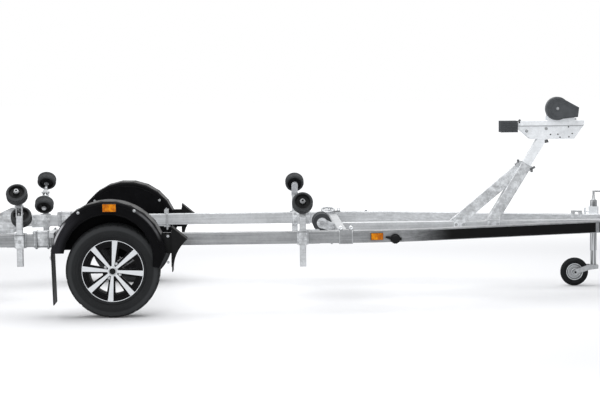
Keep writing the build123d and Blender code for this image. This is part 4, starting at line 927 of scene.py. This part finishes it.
# ---- winch channel and bow stop ----
# Folded sheet, bolted through its cheeks and its top. A dark upright bolt holds the black rubber
# bow stop in its arm, and a dark knob hangs under the right cheek.
bow_rubber = rubber("bow_stop_rubber", 0.050, 0.095, 0.55, 240.0)
dress(["bow_stop"], bow_rubber)
stop_low, stop_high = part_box("bow_stop")
channel_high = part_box("winch_channel")[1]
bolts, knobs, stop_ribs = bmesh.new(), bmesh.new(), bmesh.new()
cheek_face = 0.0345
fold_z = channel_high.z - 0.032
f = Finish("channel_zinc")
level, height = zinc_level(f, 0.008, 12.0, 0.1)
x, y, z = f.axes()
# a dark strip on the cheeks just under the top's fold: painted shadow of the flange
fold_shadow = (z < fold_z + 0.0002).both(z.rise(fold_z - 0.011, fold_z - 0.002)).both(y.of("ABSOLUTE") < 0.040)
tone = f.blend(fold_shadow * 0.6, f.blend(level, grey(0.74), grey(1.0)), grey(0.26))
surface = {"Base Color": tone, "Metallic": 0.45, "Roughness": 0.38 + height * 0.2}
dress(["winch_channel"], f.skin(0.0006, height, surface))
head_x, head_z = channel_high.x, channel_high.z
# places on the cheeks: back from the channel's end, down from its top
cheek_bolts = ((0.260, 0.054), (0.395, 0.070))
open_holes = ((0.106, 0.044), (0.080, 0.090), (0.103, 0.112), (0.164, 0.114), (0.179, 0.094), (0.230, 0.095))
hole_r, hole_depth, hole_face = 0.0052, 0.003, cheek_face - 0.0008
top_bolt_xs, top_bolt_y = (head_x - 0.195, head_x - 0.058), 0.030
# dark discs sunk in the cheeks' open holes: painted shade inside the holes
hole_shade_discs = bmesh.new()
for way in (-1, 1):
    for back, drop in cheek_bolts:
        bolt_into(bolts, (head_x - back, way * cheek_face, head_z - drop), (0, way, 0), 0.0085)
    for back, drop in open_holes:
        face = Vector((head_x - back, way * hole_face, head_z - drop))
        rod_into(hole_shade_discs, face - Vector((0, way * hole_depth, 0)), face, hole_r, 16)
    for x in top_bolt_xs:
        bolt_into(bolts, (x, way * top_bolt_y, head_z + 0.004), (0, 0, 1), 0.0085)
top_bolt = Vector((stop_high.x + 0.020, 0, head_z - 0.056))
rod_into(knobs, top_bolt, top_bolt + Vector((0, 0, 0.054)), 0.0075, 16)
bolt_into(knobs, top_bolt + Vector((0, 0, 0.050)), (0, 0, 1), 0.0115)
knob = Vector((head_x - 0.259, -0.026, 1.0535))
rod_into(knobs, knob, knob - Vector((-0.004, 0, 0.020)), 0.0110, 20, tip=0.0150)
stop_middle, stop_rib_y, stop_rib_r = (stop_low.z + stop_high.z) / 2, 0.0495, 0.0022
for lift in (-0.026, -0.013, 0.0, 0.013, 0.026):
    z = stop_middle + lift
    for y in (-stop_rib_y, stop_rib_y):
        rod_into(stop_ribs, (stop_low.x + 0.010, y, z), (stop_high.x - 0.006, y, z), stop_rib_r, 8)
make("channel_hole_shade_discs", hole_shade_discs, dark_plastic, smooth=35)
make("winch_channel_bolts", bolts, plated, smooth=35)
make("channel_knob", knobs, dark_steel, smooth=35)
make("bow_stop_ribs", stop_ribs, bow_rubber, smooth=50)

# ---- hand winch: cover, drum with its webbing, handle and grip ----
# A bent steel frame carries the drum; the strap is rolled up tight on it. A moulded cover with
# raised ribs closes the gears, and the shaft's plated end shows in its middle.
f = Finish("winch_cover_plastic")
speck = f.noise(220.0, 3.0)
tone = f.blend(f.noise(24.0, 3.0), grey(0.060, 0.06), grey(0.120, 0.06))
surface = {"Base Color": tone, "Roughness": 0.34 + speck * 0.14, "Specular IOR Level": 0.12}
cover_plastic = f.skin(0.0002, speck, surface)
dress(["winch_cover"], cover_plastic)
dress(["winch_drum", "winch_handle"], plated)
drum_low, drum_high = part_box("winch_drum")
winch = (drum_low + drum_high) / 2
cover = winch + Vector((0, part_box("winch_cover")[0].y, 0))
ribs, shaft, webbing = bmesh.new(), bmesh.new(), bmesh.new()
rib_turn, rib_arc = 1.2, radians(210)
rib_way = Vector((cos(rib_turn), 0, sin(rib_turn)))
rib_heading = Vector((-rib_way.z, 0, rib_way.x))
for radius, thick in ((0.066, 0.0026), (0.050, 0.0020)):
    pipe_into(ribs, cover + rib_way * radius, rib_heading, thick, [("bend", (0, -1, 0), radius, rib_arc)], 8)
straight_ribs = (
    ((0.034, 0, 0.058), (0.134, 0, 0.004)),
    ((0.040, 0, 0.036), (0.128, 0, -0.010)),
    ((-0.006, 0, -0.064), (0.126, 0, -0.050)),
)
for first, last in straight_ribs:
    rod_into(ribs, cover + Vector(first), cover + Vector(last), 0.0022, 8)
rod_into(ribs, cover + Vector((0, 0.002, 0)), cover - Vector((0, 0.003, 0)), 0.018, 32)
rod_into(shaft, cover, cover - Vector((0, 0.007, 0)), 0.0105, 24, tip=0.0095)
make("winch_cover_ribs", ribs, cover_plastic, smooth=40)
make("winch_shaft_end", shaft, plated, smooth=35)
strap_r, strap_half, strap_wall, strap_layers = 0.0445, 0.030, 0.0022, 9
for layer in range(strap_layers):
    half_roll = Vector((0, strap_half - (layer % 2) * 0.0006, 0))
    rod_into(webbing, winch - half_roll, winch + half_roll, strap_r - layer * strap_wall, 48)
f = Finish("blue_grey_webbing")
weave = f.axes()[1].wave(0.0022)
tone = f.blend(weave * 0.5 + 0.5, grey(0.10, 0.08), grey(0.22, 0.08))
strap_cloth = f.skin(0.0003, weave, {"Base Color": tone, "Roughness": 0.8})
make("winch_strap_roll", webbing, strap_cloth, "winch_drum", smooth=40)
grip, across_way = Vector((winch.x - 0.074, 0, 1.132)), Vector((0, 1, 0))
grip_r, grip_from, grip_to = 0.0165, 0.098, 0.176
ring_r, ring_from, ring_w, ring_pitch, ring_count = 0.0175, 0.104, 0.006, 0.0125, 6
bm = bmesh.new()
rod_into(bm, grip + across_way * grip_from, grip + across_way * grip_to, grip_r, 28)
for i in range(ring_count):
    ring = grip + across_way * (ring_from + i * ring_pitch)
    rod_into(bm, ring, ring + across_way * ring_w, ring_r, 28)
make("winch_grip", bm, dark_plastic, smooth=40)

# ---- jockey wheel: tube, screw crank, fork, wheel and clamp ----
# Zinc plated tubes; the wheel has a pressed pale rim with rolled rings and a black tyre.
f = Finish("drawn_tube_zinc")
x, y, z = f.axes()
# lengthwise bright and dark streaks: partly the drawn tube's grain, partly painted reflection
drawn_grain_and_sheen = f.noise(1.0, 3.0, 0.5, f.stretched((120, 120, 2.5)))
tone = f.blend(drawn_grain_and_sheen.rise(0.36, 0.66), grey(0.16), grey(0.70))
tube_zinc = f.skin(0.0001, drawn_grain_and_sheen, {"Base Color": tone, "Metallic": 0.85, "Roughness": 0.24 + drawn_grain_and_sheen * 0.12})
dress(["jockey_tube", "jockey_leg"], tube_zinc)
dress(["jockey_fork"], plated)
# the clamp block's near-white zinc is partly painted highlight
dress(["jockey_clamp"], bright_zinc("clamp_block_zinc_and_highlight", 0.80, 1.0))
jockey_rubber = rubber("jockey_tyre_rubber", 0.006, 0.018, 0.5)
dress(["jockey_tyre"], jockey_rubber)
dress(["jockey_rim"], bright_zinc("jockey_rim_paint", 0.24, 0.50))
wheel_low, wheel_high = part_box("jockey_tyre")
wheel = (wheel_low + wheel_high) / 2
rings, axle_nuts, axle_ends = bmesh.new(), bmesh.new(), bmesh.new()
# rolled rings of the rim: radius, place beside the middle, thickness
rim_rings = ((0.0570, 0.0170, 0.0022), (0.0440, 0.0075, 0.0018), (0.0225, 0.0215, 0.0020))
axle_nut_y, axle_end_from, axle_end_to = 0.0345, 0.0500, 0.0514
for way in (-1, 1):
    out_way = Vector((0, way, 0))
    for radius, off, thick in rim_rings:
        half_turn = ("bend", (0, -1, 0), radius, pi)
        for end in (1, -1):
            pipe_into(rings, wheel + Vector((end * radius, way * off, 0)), (0, 0, end), thick, [half_turn], 8)
    bolt_into(axle_nuts, wheel + out_way * axle_nut_y, out_way, 0.0115)
    rod_into(axle_ends, wheel + out_way * axle_end_from, wheel + out_way * axle_end_to, 0.0072, 16)
make("jockey_rim_rings", rings, bright_zinc("jockey_ring_zinc", 0.7, 0.95), "jockey_wheel", smooth=60)
make("jockey_axle_nuts", axle_nuts, plated, "jockey_fork", smooth=35)
make("jockey_axle_ends", axle_ends, dark_plastic, "jockey_fork", smooth=40)
tube_low, tube_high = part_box("jockey_leg")
foot = Vector(((tube_low.x + tube_high.x) / 2, (tube_low.y + tube_high.y) / 2, 0))
bell, crank_grip, nuts = bmesh.new(), bmesh.new(), bmesh.new()
tube_top, cap_top = 0.566, 0.608
# the tube's head from below: start, end, radius, end's radius, sides
head_steps = (
    (tube_top - 0.004, tube_top + 0.004, 0.0262, 0.0262, 32),
    (tube_top + 0.002, cap_top - 0.010, 0.0252, 0.0248, 32),
    (cap_top - 0.010, cap_top + 0.004, 0.0248, 0.0150, 32),
    (cap_top + 0.002, cap_top + 0.034, 0.0128, 0.0095, 24),
)
for start, end, radius, tip, corners in head_steps:
    rod_into(bell, foot + Vector((0, 0, start)), foot + Vector((0, 0, end)), radius, corners, tip)
crank_reach, grip_low, grip_high = 0.124, 0.678, 0.743
grip_foot, grip_top = Vector((crank_reach, 0, grip_low)), Vector((crank_reach, 0, grip_high))
rod_into(crank_grip, foot + grip_foot, foot + grip_top, 0.0135, 24, tip=0.0125)
make("jockey_tube_head", bell, tube_zinc, smooth=40)
make("jockey_crank_grip", crank_grip, dark_plastic, smooth=40)
axis = Vector((cos(lean), -sin(lean), 0))
outward = Vector((sin(lean), cos(lean), 0))
clamp_nut_half, clamp_nut_in = 0.034, 0.028
for shift in (-clamp_nut_half, clamp_nut_half):
    for z in (beam_bottom + 0.024, beam_top - 0.022):
        bolt_into(nuts, foot + axis * shift - outward * clamp_nut_in + Vector((0, 0, z)), outward, 0.0075)
make("jockey_clamp_nuts", nuts, plated, smooth=35)

# ---- nose: gusset plates, coupling head and handle ----
# Bolts pass through the plates and both beams; the pressed head is bolted over the keel beam.
dress(["coupling_handle"], cover_plastic)
nose_low, nose_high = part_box("nose_plates")
head_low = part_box("coupling_head")[0]
bolts = bmesh.new()
bolt_size, head_half, head_bolt_z = 0.012, 0.037, 0.470
for way in (-1, 1):
    for along_x, across_y in ((0.045, 0.118), (0.150, 0.085), (0.250, 0.052)):
        for z, up_or_down in ((nose_high.z, 1), (nose_low.z, -1)):
            foot = (nose_low.x + along_x, way * across_y, z)
            bolt_into(bolts, foot, (0, 0, up_or_down), bolt_size)
    for along_x in (0.025, 0.075):
        bolt_into(bolts, (head_low.x + along_x, way * head_half, head_bolt_z), (0, way, 0), bolt_size)
make("coupling_bolts", bolts, plated, smooth=35)

# ---- tail: light bar, lamp clusters, bare number plate ----
# Lamps with red, amber and clear fields behind one lens each, in black housings on the bar.
lamp_low, lamp_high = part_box("tail_lamps")
bar_low, bar_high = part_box("light_bar")
f = Finish("tail_lamp_lens")
x, y, z = f.axes()
outward = y.of("ABSOLUTE")
amber_from, clear_to, seam_half, facet_pitch = 0.800, 0.690, 0.0012, 0.008
tone = f.blend(outward > amber_from, (0.60, 0.010, 0.008, 1), (0.95, 0.34, 0.02, 1))
tone = f.blend(outward < clear_to, tone, (0.82, 0.83, 0.85, 1))
for field_end in (amber_from, clear_to):
    tone = f.blend((outward - field_end).of("ABSOLUTE") < seam_half, tone, (0.05, 0.01, 0.01, 1))
facets = y.wave(facet_pitch) * z.wave(facet_pitch)
lens = f.skin(0.0006, facets, {"Base Color": tone, "Roughness": 0.14, "Coat Weight": 1.0})
dress(["tail_lamps"], lens)
housings, plate, bolts = bmesh.new(), bmesh.new(), bmesh.new()
housing_x, housing_in, housing_out, housing_wall = lamp_low.x + 0.010, 0.636, 0.884, 0.008
lamp_nut_ys, lamp_nut_x, bar_middle = (0.662, 0.858), bar_low.x + 0.030, (bar_low.z + bar_high.z) / 2
for side in sides.values():
    y0, y1, wall = side * housing_in, side * housing_out, side * housing_wall
    for z in (lamp_low.z, lamp_high.z):
        box_into(housings, (housing_x, y0, z - housing_wall / 2), (lamp_high.x, y1, z + housing_wall / 2))
    for first, last in ((y0, y0 + wall), (y1 - wall, y1)):
        box_into(housings, (housing_x, first, lamp_low.z), (lamp_high.x, last, lamp_high.z))
    for y in lamp_nut_ys:
        bolt_into(bolts, (lamp_nut_x, side * y, bar_middle), (1, 0, 0), 0.006)
plate_half, plate_bottom, plate_top, plate_wall = 0.260, bar_low.z - 0.006, bar_low.z + 0.106, 0.003
box_into(plate, (bar_low.x - plate_wall, -plate_half, plate_bottom), (bar_low.x, plate_half, plate_top))
soften(housings, 0.0015)
make("lamp_housings", housings, dark_plastic, smooth=40)
f = Finish("bare_number_plate")
tone = f.blend(f.noise(50.0, 2.0), grey(0.74, 0.01), grey(0.80, 0.01))
plate_white = f.skin(None, None, {"Base Color": tone, "Roughness": 0.35})
make("number_plate", plate, plate_white)
make("lamp_nuts", bolts, plated, smooth=35)

# ---- lashing ring on the left sleeve, and a bolt on the left drawbar beam ----
# A closed ring of 15 mm rod leans on a small welded plate. Galvanised, with a clean skin.
ring_at = Vector((axle_x + 1.440, beam_y - 0.034, beam_top + 0.004))
ring_r, ring_rod, ring_tilt = 0.045, 0.0075, 0.30
ring_axis = Vector((0, -sin(ring_tilt), cos(ring_tilt)))
bm = bmesh.new()
box_into(bm, ring_at + Vector((-0.030, 0.012, 0.004)), ring_at + Vector((0.030, 0.060, 0.010)))
soften(bm, 0.002)
for way in (1, -1):
    heading = Vector((0, cos(ring_tilt), sin(ring_tilt))) * way
    start = ring_at + Vector((way * ring_r, 0, 0.012))
    pipe_into(bm, start, heading, ring_rod, [("bend", ring_axis, ring_r, pi)], 16)
bolt_into(bm, (axle_x + 1.720, bend_end_y + 0.080, beam_top), (0, 0, 1), 0.010, nut=False)
make("lashing_ring", bm, galvanised("ring_zinc", 0.30, 0.62), smooth=60)

# ---- floor, sky, lamps and camera ----
# A plain pale studio: the floor keeps the trailer's soft shadow and fades into white.
floor_half = 60.0
bm = bmesh.new()
bmesh.ops.create_grid(bm, x_segments=1, y_segments=1, size=floor_half)
mesh = bpy.data.meshes.new("studio_floor")
bm.to_mesh(mesh)
bm.free()
floor = bpy.data.objects.new("studio_floor", mesh)
bpy.context.scene.collection.objects.link(floor)
f = Finish("studio_floor")
seen = f.node("ShaderNodeLightPath", output="Is Camera Ray")
x, y, z = f.axes()
away = (x * x * 0.36 + y * y).of("SQRT")
strength = seen * (away.rise(2.6, 6.0) * 0.62 + 0.06)
lit = f.node("ShaderNodeBsdfDiffuse", None, {"Color": (0.72, 0.72, 0.73, 1)})
glow = f.node("ShaderNodeEmission", None, {"Color": (1, 1, 1, 1), "Strength": strength})
mesh.materials.append(f.close(f.node("ShaderNodeAddShader", None, {0: lit, 1: glow})))
floor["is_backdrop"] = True

sky = Finish("studio_sky", sky=True)
ray_kinds = ("Camera", "Glossy", "Transmission")
rays = [sky.node("ShaderNodeLightPath", output=f"Is {kind} Ray") for kind in ray_kinds]
shown = rays[0].either(rays[1].either(rays[2]))
ambient = sky.node("ShaderNodeBackground", None, {"Color": (0.96, 0.98, 1.0, 1), "Strength": 0.55})
white = sky.node("ShaderNodeBackground", None, {"Color": (1, 1, 1, 1), "Strength": 1.0})
mixed = sky.node("ShaderNodeMixShader", None, {0: shown, 1: ambient, 2: white})
bpy.context.scene.world = sky.close(mixed)

# lamp name, place, size, watts
lamps_aim = Vector((0, 0, 0.4))
lamps = (
    ("top_softbox", (-0.3, 0.3, 5.2), 6.0, 330),
    ("front_softbox", (-2.5, -6.0, 3.6), 4.0, 130),
)
for name, place, size, watts in lamps:
    light = bpy.data.lights.new(name, "AREA")
    light.shape = "SQUARE"
    light.size = size
    light.energy = watts
    lamp = bpy.data.objects.new(name, light)
    lamp.location = place
    lamp.rotation_mode = "QUATERNION"
    lamp.rotation_quaternion = (lamps_aim - Vector(place)).to_track_quat("-Z", "Y")
    bpy.context.scene.collection.objects.link(lamp)

camera_place = Vector((-0.6179, -11.6059, 1.5697))
yaw, pitch, roll = -0.0321, 0.0826, -0.0098
picture_width, focal_px, film_mm = 600, 1694.9, 36.0
ahead = Vector((-sin(yaw) * cos(pitch), cos(yaw) * cos(pitch), -sin(pitch)))
level = Vector((cos(yaw), sin(yaw), 0))
over = level.cross(ahead)
right = level * cos(roll) + over * sin(roll)
up = over * cos(roll) - level * sin(roll)
camera = bpy.data.cameras.new("camera")
camera.sensor_fit = "HORIZONTAL"
camera.sensor_width = film_mm
camera.lens = film_mm * focal_px / picture_width
camera.clip_start, camera.clip_end = 0.1, 200
eye = bpy.data.objects.new("camera", camera)
eye.matrix_world = Matrix.Translation(camera_place) @ Matrix((right, up, -ahead)).transposed().to_4x4()
bpy.context.scene.collection.objects.link(eye)
bpy.context.scene.camera = eye
bpy.context.scene.view_settings.view_transform = "Standard"

low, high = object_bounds()
